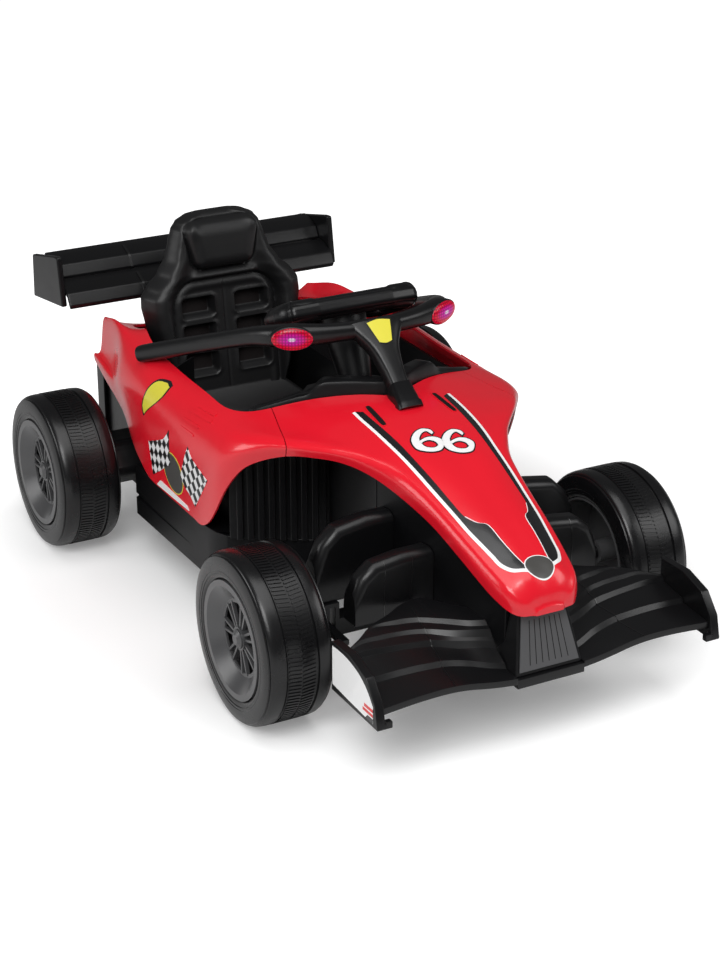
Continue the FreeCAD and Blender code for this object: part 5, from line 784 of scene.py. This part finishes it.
# %% Seat back
SEAT_LOW, SEAT_LEAN = 0.184, math.tan(math.radians(8.0))
SEAT_FACE_Y, SEAT_FACE_Z, SEAT_DEEP = 0.385, 0.186, 0.030
SEAT_SIDES = mm([(184, 106), (235, 119), (283, 132), (315, 139), (340, 143), (358, 142), (373, 131), (393, 110),
                 (418, 94), (442, 86), (462, 79), (474, 70), (482, 54), (486.5, 30), (487.8, 10)])
SEAT_TOP = SEAT_SIDES[-1][0]
WINDOW_X, WINDOW_HALF = 0.0485, 0.0285
WINDOW_ROWS = mm(((332.5, 16.5), (286, 17.5), (237, 18.5)))
SEAT_STEP, SEAT_GROOVE, SEAT_BEAD, SEAT_SPLIT = 0.006, 0.0035, 0.0025, 0.0022
BOLSTER_RISE, WINDOW_DEPTH, WINDOW_LIP = 0.018, 0.018, 0.002
CUSHION_RISE, CUSHION_GROOVE, NECK_RISE, CUSHION_HALF = 0.019, 0.004, 0.006, 0.060


def ease(low, high, value):
    """A smooth step from 0 at low to 1 at high."""
    t = min(max((value - low) / (high - low), 0.0), 1.0)
    return t * t * (3 - 2 * t)


def ease_down(low, high, value):
    """A smooth step from 1 at low to 0 at high."""
    return 1.0 - ease(low, high, value)


def ridge(value, width):
    """A smooth ridge that is 1 where the value is 0."""
    return math.exp(-(value / width) ** 2)


def box_edge(x, z, mid_x, mid_z, half_x, half_z, corner):
    """Distance to a rounded box: negative inside, positive outside."""
    dx, dz = abs(x - mid_x) - half_x + corner, abs(z - mid_z) - half_z + corner
    return math.hypot(max(dx, 0), max(dz, 0)) + min(max(dx, dz), 0) - corner


def seat_push(x, z, side):
    """How far the seat's front skin stands before the plane of the backrest."""
    # the flat middle under its arched border, and the bolsters beside it
    arch = box_edge(x, z, 0, 0.20, 0.094, 0.178, 0.045)
    push = SEAT_STEP * ease(-0.003, 0.005, arch)
    push -= SEAT_GROOVE * ridge(arch, 0.0028)
    push += SEAT_BEAD * ridge(arch + 0.010, 0.006)
    fade = 1.0 - 0.72 * ease(0.35, 0.45, z)
    push += BOLSTER_RISE * fade * ridge(abs(x) - 0.80 * side, 0.17 * side) * ease(-0.004, 0.012, arch)
    # the windows, each with a raised lip, and the line between their two columns
    for mid_z, half_z in WINDOW_ROWS:
        hole = box_edge(abs(x), z, WINDOW_X, mid_z, WINDOW_HALF, half_z, 0.006)
        push -= WINDOW_DEPTH * ease_down(-0.0035, 0.0015, hole)
        push += WINDOW_LIP * ridge(hole - 0.003, 0.003)
    push -= SEAT_SPLIT * ridge(x, 0.0015) * ease_down(0.370, 0.376, z)
    # the headrest cushion, wider at its top, and the roll under it
    wide = 0.052 + 0.014 * min(max((z - 0.395) / 0.07, 0.0), 1.0)
    cushion = box_edge(x * CUSHION_HALF / wide, z, 0, 0.4375, CUSHION_HALF, 0.0405, 0.017)
    full = min(max(-cushion / 0.024, 0.0), 1.0)
    push += CUSHION_RISE * math.sqrt(1 - (1 - full) ** 2)
    push -= CUSHION_GROOVE * ridge(cushion, 0.003)
    return push + NECK_RISE * ridge(z - 0.386, 0.006) * ease_down(0.050, 0.066, abs(x))


def side_at(z):
    """Half width of the seat at a height, smoothed between the listed sides."""
    for (z0, w0), (z1, w1) in zip(SEAT_SIDES, SEAT_SIDES[1:]):
        if z <= z1:
            share = (z - z0) / (z1 - z0)
            return w0 + (w1 - w0) * (ease(0, 1, share) + share) / 2
    return SEAT_SIDES[-1][1]


SEAT_ROWS, SEAT_COLUMNS, SEAT_ROLL = 132, 124, 0.0145
CROWD_SIDES, CROWD_TOP = math.pi / 2 * 0.75, 1.25
bm = bmesh.new()
for front in (True, False):
    for vert in bmesh.ops.create_grid(bm, x_segments=SEAT_COLUMNS, y_segments=SEAT_ROWS, size=1.0)["verts"]:
        z = SEAT_LOW + (SEAT_TOP - SEAT_LOW) * (1 - (1 - (vert.co.y + 1) / 2) ** CROWD_TOP)
        side = side_at(z)
        x = math.sin(CROWD_SIDES * vert.co.x) / math.sin(CROWD_SIDES) * side
        near = 1 - min(min(side - abs(x), SEAT_TOP - z) / SEAT_ROLL, 1.0)
        roll = SEAT_ROLL * (1 - math.sqrt(max(1 - near * near, 0.0)))
        plane = SEAT_FACE_Y + (z - SEAT_FACE_Z) * SEAT_LEAN
        if front:
            vert.co = (x, plane - seat_push(x, z, side) * (1 - near * near) + roll, z)
        else:
            vert.co = (x, plane + SEAT_DEEP - roll, z)
bmesh.ops.bridge_loops(bm, edges=[e for e in bm.edges if e.is_boundary])
bmesh.ops.recalc_face_normals(bm, faces=bm.faces[:])
seat_back = smooth(new_piece("seat_back_skin", bm, LOOKS["seat_plastic"]), 60.0)
stand_in(seat_back, "headrest_pad")
print("seat back", size_of(seat_back), len(seat_back.data.polygons), "faces")

# %% [markdown]
# The seat pan is the lower part of the CAD seat, so its copy is cut off level just above the pan.

# %% Seat pan
SEAT_CUT_Z = 0.192
bm = bmesh.new()
bm.from_mesh(nodes["seat_shell"].data)
bmesh.ops.remove_doubles(bm, verts=bm.verts[:], dist=MERGE)
cut = bmesh.ops.bisect_plane(bm, geom=bm.verts[:] + bm.edges[:] + bm.faces[:], plane_co=(0, 0, SEAT_CUT_Z),
                             plane_no=(0, 0, 1), clear_outer=True)
bmesh.ops.holes_fill(bm, edges=[e for e in cut["geom_cut"] if isinstance(e, bmesh.types.BMEdge)])
seat_pan = smooth(new_piece("seat_pan", bm, LOOKS["seat_plastic"]))
stand_in(seat_pan, "seat_shell")
print("seat pan", size_of(seat_pan))

# %% [markdown]
# The floors of the seat's windows lie in deep shade and have a duller moulded grain.
# So a dark film lies on each floor as painted shade.

# %% Seat window floors
HANDS = {"left": 1, "right": -1}
PANE_HALF, PANE_INSET = 0.0235, 0.0045
# each window floor gets a near-black film of painted shade
for row, (mid_z, half_z) in enumerate(WINDOW_ROWS):
    for name, hand in HANDS.items():
        pane = [[(hand * WINDOW_X + dx, mid_z + dz) for dx in (-PANE_HALF, 0.0, PANE_HALF)]
                for dz in (PANE_INSET - half_z, half_z - PANE_INSET)]
        sticker(f"seat_window_{row + 1}_{name}", pane, "front", "seat_back_skin", "painted_recess_shade", along=8)
print("window floors", 2 * len(WINDOW_ROWS))

# %% [markdown]
# Many long shapes on the car are lofts: rings of points at places along the shape, joined by a skin.
# The Bridge Edge Loops operator makes that skin between each pair of rings, a face closes each open end, and all
# faces are turned outward.

# %% A helper for lofts


def loft(bm, rings, closed=False):
    """Join rings of points, each to the next; a closed loft also joins the last to the first."""
    loops = []
    for ring in rings:
        verts = [bm.verts.new(p) for p in ring]
        loops.append([bm.edges.new(pair) for pair in zip(verts, verts[1:] + verts[:1])])
    for here, there in zip(loops, loops[1:] + (loops[:1] if closed else [])):
        bmesh.ops.bridge_loops(bm, edges=here + there)
    if not closed:
        for loop in (loops[0], loops[-1]):
            bmesh.ops.edgeloop_fill(bm, edges=loop)
    bmesh.ops.recalc_face_normals(bm, faces=bm.faces[:])


print("loft helper ready")

# %% [markdown]
# The front wing is moulded in steps that fan out from the nose pylon to the endplates.
# Each half is a loft: a table gives the stepped outline at eight places across the wing, and smooth lines run
# between them.
# Because the mesh is clean quads, every step edge can be bevelled into a rounded rib that catches a thin line of
# light.

# %% Front wing
WING_PLACES = mm((52.5, 75, 100, 130, 160, 195, 225, 257))
WING_Y = mm(((-620, -620, -620, -620, -620, -620, -620, -620),
             (-590, -583, -574.5, -570.5, -568.5, -565.5, -562.5, -561),
             (-586, -578, -569, -565, -563, -560, -558, -557),
             (-562, -553, -542, -528.5, -522.5, -518.5, -516, -515),
             (-557, -548, -537, -524, -518.5, -515, -512.5, -511.5),
             (-552, -543, -530, -508.5, -500, -498.5, -499, -509.8),
             (-547, -538, -525, -503.5, -495.5, -494, -495.5, -508.8),
             (-540, -530, -508, -485, -478.5, -475, -494, -508),
             (-535, -524, -502, -480, -473.5, -472.5, -493, -507.4),
             (-505, -480, -440, -440, -456, -470.5, -492, -506.8)))
WING_Z = mm(((128, 130.5, 134.5, 140, 142.5, 142, 140, 137),
             (129, 132, 137, 143, 145, 144.5, 142.5, 140.5),
             (135, 138.5, 143.5, 149.5, 151.5, 151, 149, 147),
             (148, 149, 149, 153, 155, 156, 156, 153),
             (157, 157.5, 158, 160.5, 161.5, 162.5, 163, 159.5),
             (160, 160, 161, 163, 164, 165, 165.5, 160),
             (169, 169, 168.5, 168, 168.5, 169.5, 169, 160.5),
             (171.2, 171, 170.2, 169.5, 170, 171.5, 169.2, 161),
             (177.5, 177, 175.8, 174.5, 174.5, 172.8, 169.3, 161.2),
             (181.5, 181, 179.5, 177, 175.5, 173, 169.3, 161.4)))
WING_THICK, WING_COLUMNS, WING_EDGE = 0.0092, 44, 0.0014
CENTRE_PLACE, CENTRE_SIZE = (0, -0.5295, 0.1185), (0.105, 0.181, 0.013)
lines = [flow(list(zip(WING_PLACES, ys, zs)), WING_COLUMNS + 1) for ys, zs in zip(WING_Y, WING_Z)]
bm = bmesh.new()
for hand in (-1, 1):
    columns = []
    for i in range(WING_COLUMNS + 1):
        top = [Vector((line[i].x * hand, line[i].y, line[i].z)) for line in lines]
        columns.append(top + [p - Vector((0, 0, WING_THICK)) for p in reversed(top)])
    loft(bm, columns)
bmesh.ops.create_cube(bm, size=1.0, matrix=Matrix.Translation(CENTRE_PLACE) @ Matrix.Diagonal((*CENTRE_SIZE, 1)))
round_edges(bm, math.radians(24.0), WING_EDGE, 3, True)
wing = smooth(new_piece("front_wing_stepped", bm, LOOKS["black_plastic"]), 17.0)
stand_in(wing, "front_wing")
print("front wing", size_of(wing), len(wing.data.polygons), "faces")

# %% [markdown]
# A moulding seam crosses each half of the wing from the front edge to the back, a fine raised line.

# %% Front wing seams
SEAM = mm([(122.5, -456), (126.5, -483), (131.1, -524.6), (138.8, -565.7), (148.1, -619)])


def ribbon(line, width):
    """The two edges of a strip: a line, and the same line moved sideways by the strip's width."""
    return [line, [(x + width, y) for x, y in line]]


mirrored("wing_seam", ribbon(SEAM, 0.0014), "front_wing_stepped", "black_gloss", lift=0.0005, across=2, along=80)
print("wing seams placed")

# %% [markdown]
# The fins in front of the cockpit are moulded from several panels, and fine seams show where they meet.
# They are thin ribbons dropped onto the fins from the front.

# %% Fin seams
for name, hand in HANDS.items():
    for i, x in enumerate((0.110, 0.152)):
        line = [(hand * x, 0.156), (hand * x, 0.20), (hand * (x - 0.002), 0.238)]
        sticker(f"fin_seam_{i + 1}_{name}", ribbon(line, 0.0013), "front", "front_fairing_" + name, "black_gloss",
                lift=0.0005, across=2, along=14)
print("fin seams placed")

# %% [markdown]
# The plate on the nose pylon is grooved from top to bottom, and the grooves lean together as the plate narrows.
# They are ribbons of painted shade, placed from the plate's own measured widths.

# %% Pylon plate grooves
GROOVE_SHARES = (-0.66, -0.44, -0.22, 0.0, 0.22, 0.44, 0.66)
PLATE_BAND = 0.004
corners = [nodes["pylon_grille"].matrix_world @ v.co for v in nodes["pylon_grille"].data.vertices]
plate_low, plate_high = min(p.z for p in corners), max(p.z for p in corners)
wide_low = max(abs(p.x) for p in corners if p.z < plate_low + PLATE_BAND)
wide_high = max(abs(p.x) for p in corners if p.z > plate_high - PLATE_BAND)
for i, share in enumerate(GROOVE_SHARES):
    line = []
    for step in range(9):
        t = 0.10 + 0.80 * step / 8
        line.append((share * (wide_low + (wide_high - wide_low) * t), plate_low + (plate_high - plate_low) * t))
    # each groove is a dark ribbon of painted shade
    sticker(f"plate_groove_{i + 1}", ribbon(line, 0.0009), "front", "pylon_grille", "painted_recess_shade",
            lift=0.0003, across=2, along=10)
print("plate grooves", round(wide_low * 2, 4), "to", round(wide_high * 2, 4))

# %% [markdown]
# The rear wing's planes are clamped by two slim straps a third of the way out.
# Each strap is a ribbon that covers the plane's front from its lower edge to its upper one.

# %% Rear wing straps
STRAP_X, STRAP_WIDTH, STRAP_MARGIN = 0.113, 0.0045, 0.0025
for plane in ("rear_wing_main", "rear_wing_flap"):
    heights = [(nodes[plane].matrix_world @ Vector(corner)).z for corner in nodes[plane].bound_box]
    low, high = min(heights) + STRAP_MARGIN, max(heights) - STRAP_MARGIN
    for name, hand in HANDS.items():
        line = [(hand * STRAP_X, low + (high - low) * i / 6) for i in range(7)]
        sticker(f"{plane}_strap_{name}", ribbon(line, STRAP_WIDTH), "front", plane, "black_gloss",
                lift=0.0016, across=2, along=12)
print("rear wing straps placed")

# %% [markdown]
# Each front endplate carries a white panel with a rounded front, two plain red bars and a black corner, and no
# lettering.
# Its edges follow the plate's own outline a few millimetres in.

# %% Endplate panels
PANEL_LOW = mm([(-506, 122.5), (-540, 120.5), (-580, 119), (-618, 117.5)])
PANEL_HIGH = mm([(-506, 179), (-540, 180), (-576, 173.5), (-601, 160), (-618, 142)])
RED_BARS = mm([[[(-595, 138), (-618, 138.5)], [(-595, 133.5), (-618, 134)]],
               [[(-591, 131), (-618, 131.2)], [(-591, 126.8), (-618, 127)]]])
BLACK_CORNER = mm([[(-604, 124.5), (-618, 124.5)], [(-598, 118.2), (-618, 117.8)]])
for side in HANDS:
    plate = "wing_endplate_" + side
    sticker("endplate_panel_" + side, [PANEL_LOW, PANEL_HIGH], side, plate, "white_sticker", across=6, along=20)
    for i, bar in enumerate(RED_BARS):
        sticker(f"endplate_bar_{i + 1}_{side}", bar, side, plate, "red_sticker", lift=0.0007, across=2, along=6)
    sticker("endplate_corner_" + side, BLACK_CORNER, side, plate, "black_sticker", lift=0.0007, across=2, along=6)
print("endplate panels placed")

# %% [markdown]
# Tubes and tapering arms are rings of points joined along a path.
# Each ring has its own half width and half thickness, which lets one helper make grips, collars and the flared yoke
# of the arch.

# %% A helper for tubes


def add_on(piece, body="chassis"):
    """The piece rides on a body and has no CAD node of its own."""
    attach(piece, body)
    return piece


def tube(name, path, halves, sides, closed=False, width_way=(0, 0, 1), square=2.0, body="chassis"):
    """A smooth black tube; halves holds (half width, half thickness), and square above 2 boxes the section."""
    points = [Vector(p) for p in path]
    bm = bmesh.new()
    rings = []
    for i, point in enumerate(points):
        ahead = points[(i + 1) % len(points)] if closed or i + 1 < len(points) else point
        behind = points[i - 1] if closed or i else point
        way = (ahead - behind).normalized()
        flat = Vector(width_way)
        wide = (flat - way * flat.dot(way)).normalized()
        thick = way.cross(wide)
        half_wide, half_thick = halves[i]
        ring = []
        for step in range(sides):
            a = 2 * math.pi * (step + 0.5) / sides
            c, d = [math.copysign(abs(f) ** (2 / square), f) for f in (math.cos(a), math.sin(a))]
            ring.append(point + wide * c * half_wide + thick * d * half_thick)
        rings.append(ring)
    loft(bm, rings, closed)
    return add_on(smooth(new_piece(name, bm, LOOKS["black_plastic"]), 45.0), body)


print("tube helper ready")

# %% [markdown]
# The safety arch is one hoop: a bar across the cockpit that swells round the lamps and then runs back to the
# shoulders.
# A tube along a smooth path gives it that shape, with the sizes of its section smoothed along the same path.
# The moulded model bends more sharply, so this hoop stands in for it.

# %% Arch hoop
HOOP = mm([(0, -123.5, 456), (45, -119, 456), (85, -108.5, 455.2), (118, -92.5, 454), (137.5, -70, 449),
           (149, -40, 441.5), (160, -5, 429.5), (190, 92.6, 392.5), (226, 208.5, 347.2), (226.6, 210.4, 346.4),
           (226.8, 211.2, 346.1)])
HOOP_HALVES = mm([(14, 13.5), (13.2, 13), (15, 13.8), (17.2, 15), (16.2, 14.8), (14.8, 14.3), (14, 13.8),
                  (13.6, 13.6), (13.6, 13.6), (11.5, 11.5), (6, 6)])
HOOP_STEPS = 81


def mirror_line(line):
    """A line that starts at the car's middle, with its mirror image before it."""
    return [Vector((-p.x, p.y, p.z)) for p in line[:0:-1]] + line


half_sizes = flow(HOOP_HALVES, HOOP_STEPS)
hoop = tube("arch_hoop", mirror_line(flow(HOOP, HOOP_STEPS)), half_sizes[:0:-1] + half_sizes, 28, square=2.5)
stand_in(hoop, "halo")
print("arch hoop", size_of(hoop))

# %% [markdown]
# Each lamp is an oval dome on a short oval plug that rises a little out of the bar.
# Both are rings of points round the lamp's own axis, which is turned outward with the bar.

# %% Lamps on the arch
LENS_OUT = Vector((LENS_SIN, -LENS_COS, 0.0))
LENS_ALONG = Vector((LENS_COS, LENS_SIN, 0.0))
LENS_UP = Vector((0, 0, 1))
LENS_BASE = Vector((0.1195, -0.0918, 0.4530))
LENS_SIDES = 40
PLUG_LEVELS = mm([(32.2, 18.6, 4), (32.2, 18.6, 12.8), (31.5, 18, 14.4), (30.6, 17.2, 15)])
DOME_HALVES, DOME_FOOT, DOME_LOW, DOME_RISE = (0.0302, 0.0168), 0.0140, 0.0148, 0.0060
DOME_ANGLES = [math.radians(d) for d in (0, 12, 25, 38, 50, 62, 73, 83)]
dome_levels = [(*DOME_HALVES, DOME_FOOT)]
for a in DOME_ANGLES:
    long, tall = [half * math.cos(a) for half in DOME_HALVES]
    dome_levels.append((long, tall, DOME_LOW + DOME_RISE * math.sin(a)))


def oval_stack(levels):
    """Rings of an oval on both lamps; levels holds (half length, half height, distance from the bar's middle)."""
    bm = bmesh.new()
    for hand in (-1, 1):
        rings = []
        for long, tall, rise in levels:
            ring = []
            for step in range(LENS_SIDES):
                a = 2 * math.pi * step / LENS_SIDES
                spot = LENS_BASE + LENS_OUT * rise + LENS_ALONG * math.cos(a) * long + LENS_UP * math.sin(a) * tall
                ring.append(spot * Vector((hand, 1, 1)))
            rings.append(ring)
        loft(bm, rings)
    return bm


add_on(smooth(new_piece("lamp_plugs", oval_stack(PLUG_LEVELS), LOOKS["black_plastic"]), 30.0))
lenses = smooth(new_piece("lamp_lenses", oval_stack(dome_levels), LOOKS["lens_pink"]), 60.0)
stand_in(lenses, "halo_lenses")
print("two lamps", LAMP_X, "m from the middle")

# %% [markdown]
# A single pillar carries the hoop and flares into it like the fork of a Y.
# It is a boxy tube that grows wide towards the bar, with a plain yellow shield on its face and a square sleeve at
# its foot.

# %% Arch yoke, shield and sleeve
YOKE = mm([(0, -119, 460), (0, -128, 451.5), (0, -149, 431), (0, -171, 409.5), (0, -193.5, 388), (0, -215, 364)])
YOKE_HALVES = mm([(45, 15), (39.5, 15.6), (23.5, 15), (17.2, 14.2), (14.5, 13.4), (13.5, 13)])
YOKE_STEPS, YOKE_SIDES = 41, 44
SLEEVE = mm([(0, -192.5, 389), (0, -193.5, 388), (0, -216, 366.5), (0, -217.2, 365.3), (0, -223, 359)])
SLEEVE_HALVES = mm([(15, 14.6), (16, 15.8), (18.2, 19), (20, 20.8), (20.2, 21)])
PLATE = mm([[(-20.5, 469), (0, 471.5), (20.5, 469)], [(-11, 444), (0, 442), (11, 444)]])
PLATE_MIDDLE = (0, 0.4570)
yoke = tube("arch_yoke", flow(YOKE, YOKE_STEPS), flow(YOKE_HALVES, YOKE_STEPS), YOKE_SIDES,
            width_way=(1, 0, 0), square=3.6)
tube("arch_foot", SLEEVE, SLEEVE_HALVES, YOKE_SIDES, width_way=(1, 0, 0), square=5.0)
sticker("arch_shield_rim", PLATE, "front", "arch_yoke", "black_gloss", lift=0.0004, across=8, along=12)
sticker("arch_shield", shrunk(PLATE, PLATE_MIDDLE, 0.92), "front", "arch_yoke", "yellow_sticker",
        lift=0.0008, across=8, along=12)
print("yoke", size_of(yoke))

# %% [markdown]
# A black cowl stands up behind the red edge of the cockpit, higher in the middle over the steering column.
# It is a loft: the same rounded section is set at each place along the edge, turned to face into the cockpit.

# %% Cockpit cowl
COWL_EDGE = mm([(0, -186.2, 373.2), (25.6, -176, 372.9), (49.7, -159.7, 371.7), (75, -145.4, 369.4),
                (96, -134, 366.4), (113, -125.5, 363.2), (132, -116.5, 359.2), (153.6, -107.3, 354.1),
                (179.3, -93.5, 347.8), (190, -83, 345)])
COWL_TOP = mm([392.5, 392.5, 392, 391, 388, 372, 366.5, 360.5, 352, 347.5])
# depth into the cockpit, drop below the top line, or else drop below the edge
COWL_SECTION = [(0.0025, None, 0.010), (0.0035, 0.0060, 0), (0.0055, 0.0016, 0), (0.0095, 0.0, 0),
                (0.0300, 0.0010, 0), (0.0340, 0.0040, 0), (0.0355, 0.0100, 0), (0.0355, None, 0.010)]
COWL_AIM, COWL_STEPS = Vector((0, 0.02, 0)), 61
tops = [p.x for p in flow([(top, 0.0) for top in COWL_TOP], COWL_STEPS)]
rings = []
for spot, top in zip(mirror_line(flow(COWL_EDGE, COWL_STEPS)), tops[:0:-1] + tops):
    inward = (COWL_AIM - Vector((spot.x, spot.y, 0))).normalized()
    ring = []
    for deep, drop, under in COWL_SECTION:
        place = spot + inward * deep
        place.z = spot.z - under if drop is None else top - drop
        ring.append(place)
    rings.append(ring)
bm = bmesh.new()
loft(bm, rings)
cowl = add_on(smooth(new_piece("cockpit_cowl", bm, LOOKS["black_plastic"]), 35.0))
print("cockpit cowl", size_of(cowl))

# %% [markdown]
# Behind the red flange of the cockpit a black liner closes the sides down to the tub, so that no daylight shows
# past the seat.
# Rays cast sideways from the middle find the flange, and a flat tube follows it. Where they find none, it runs
# straight on.

# %% Cockpit liners
LINER_MIDDLE_Z, LINER_HALVES = 0.268, (0.036, 0.0012)
LINER_START_X, LINER_START_Y, LINER_PITCH, LINER_STEPS = 0.206, 0.03, 0.011, 41
FLANGE_Z, FLANGE_NEAR, FLANGE_FAR, FLANGE_INSET = 0.305, 0.15, 0.22, 0.0014
for name, hand in HANDS.items():
    liner_path, liner_x = [], hand * LINER_START_X
    for step in range(LINER_STEPS):
        y = LINER_START_Y + LINER_PITCH * step
        hit = skin("body_shell").ray_cast(Vector((0, y, FLANGE_Z)), Vector((hand, 0, 0)))[0]
        if hit and FLANGE_NEAR < abs(hit.x) < FLANGE_FAR:
            liner_x = hit.x + hand * FLANGE_INSET
        liner_path.append((liner_x, y, LINER_MIDDLE_Z))
    liner = tube("cockpit_liner_" + name, liner_path, [LINER_HALVES] * LINER_STEPS, 16, square=8.0)
    print("cockpit liner", name, size_of(liner))

# %% [markdown]
# The steering wheel's rim is fat and round under the hands, with seam rings where the grips begin.
# It is a closed tube that follows the bow-tie outline in the tilted plane of the wheel.

# %% Steering wheel rim
HUB = Vector((0, -0.01483, 0.452))
WHEEL_TILT = math.radians(27.0)
WHEEL_FORE = Vector((0, math.cos(WHEEL_TILT), -math.sin(WHEEL_TILT)))
WHEEL_OUT = Vector((0, math.sin(WHEEL_TILT), math.cos(WHEEL_TILT)))
RIM_SHARES = [(0.0, -0.36), (0.50, -0.36), (0.80, -0.31), (0.87, -0.10), (0.84, 0.18), (0.70, 0.33), (0.42, 0.25),
              (0.0, 0.24)]
RIM_REACH, RIM_STEPS = 0.118, 96
GRIP_FROM, GRIP_HALVES, BRIDGE_HALVES = 0.06, (0.0185, 0.0155), (0.0165, 0.0130)
SEAM_PLACES, SEAM_PROUD, SEAM_WIDTH = (14, 34, 62, 82), 0.0009, 0.0028
half = [(u * RIM_REACH, v * RIM_REACH) for u, v in RIM_SHARES]
loop = half + [(-u, v) for u, v in reversed(half[1:-1])]
loop = flow(loop + [loop[0]], RIM_STEPS + 1)[:-1]
rim_path = [HUB + Vector((1, 0, 0)) * p.x + WHEEL_FORE * p.y for p in loop]
rim_halves = [GRIP_HALVES if abs(p.x) > GRIP_FROM else BRIDGE_HALVES for p in loop]
rim = tube("steering_rim", rim_path, rim_halves, 18, closed=True, width_way=WHEEL_OUT, body="steering")
seams = bmesh.new()
for at in SEAM_PLACES:
    way = (rim_path[at + 1] - rim_path[at - 1]).normalized()
    turn = Matrix((WHEEL_OUT, way.cross(WHEEL_OUT), way)).transposed().to_4x4()
    half_wide, half_thick = rim_halves[at]
    size = Matrix.Diagonal((half_wide + SEAM_PROUD, half_thick + SEAM_PROUD, SEAM_WIDTH, 1))
    bmesh.ops.create_cone(seams, cap_ends=True, segments=24, radius1=1.0, radius2=1.0, depth=1.0,
                          matrix=Matrix.Translation(rim_path[at]) @ turn @ size)
add_on(smooth(new_piece("steering_rim_seams", seams, LOOKS["black_gloss"]), 35.0), "steering")
print("steering rim", size_of(rim))

# %% [markdown]
# Whatever CAD node still shows keeps its own shape and only needs its finish.
# The record names a material slot for each, so the same names pick the materials here.

# %% Finishes of the CAD nodes left as they are
PLAIN = {
    "nose_cover": "red_plastic", "body_shell": "red_plastic", "pylon_grille": "grille_grey",
    "power_button": "red_button", "horn_button": "red_button", "music_button": "yellow_button",
    "steering_column": "steel", "tie_rod": "steel", "rear_axle": "steel", "motors": "motor_can",
}
for side in HANDS:
    for gear in ("motor_pinion", "cluster_gear", "output_gear"):
        PLAIN[f"{gear}_{side}"] = "nylon_gear"
    for axle in ("front", "rear"):
        PLAIN[f"rim_{axle}_{side}"] = "rim_plastic"
for name, node in nodes.items():
    if not node.hide_render:
        node.data.materials.clear()
        node.data.materials.append(LOOKS[PLAIN.get(name, "black_plastic")])
print("plain CAD nodes", sum(not n.hide_render for n in nodes.values()))

# %% Measure and finish
low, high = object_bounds()
print("visual size", [round(v, 4) for v in high - low])
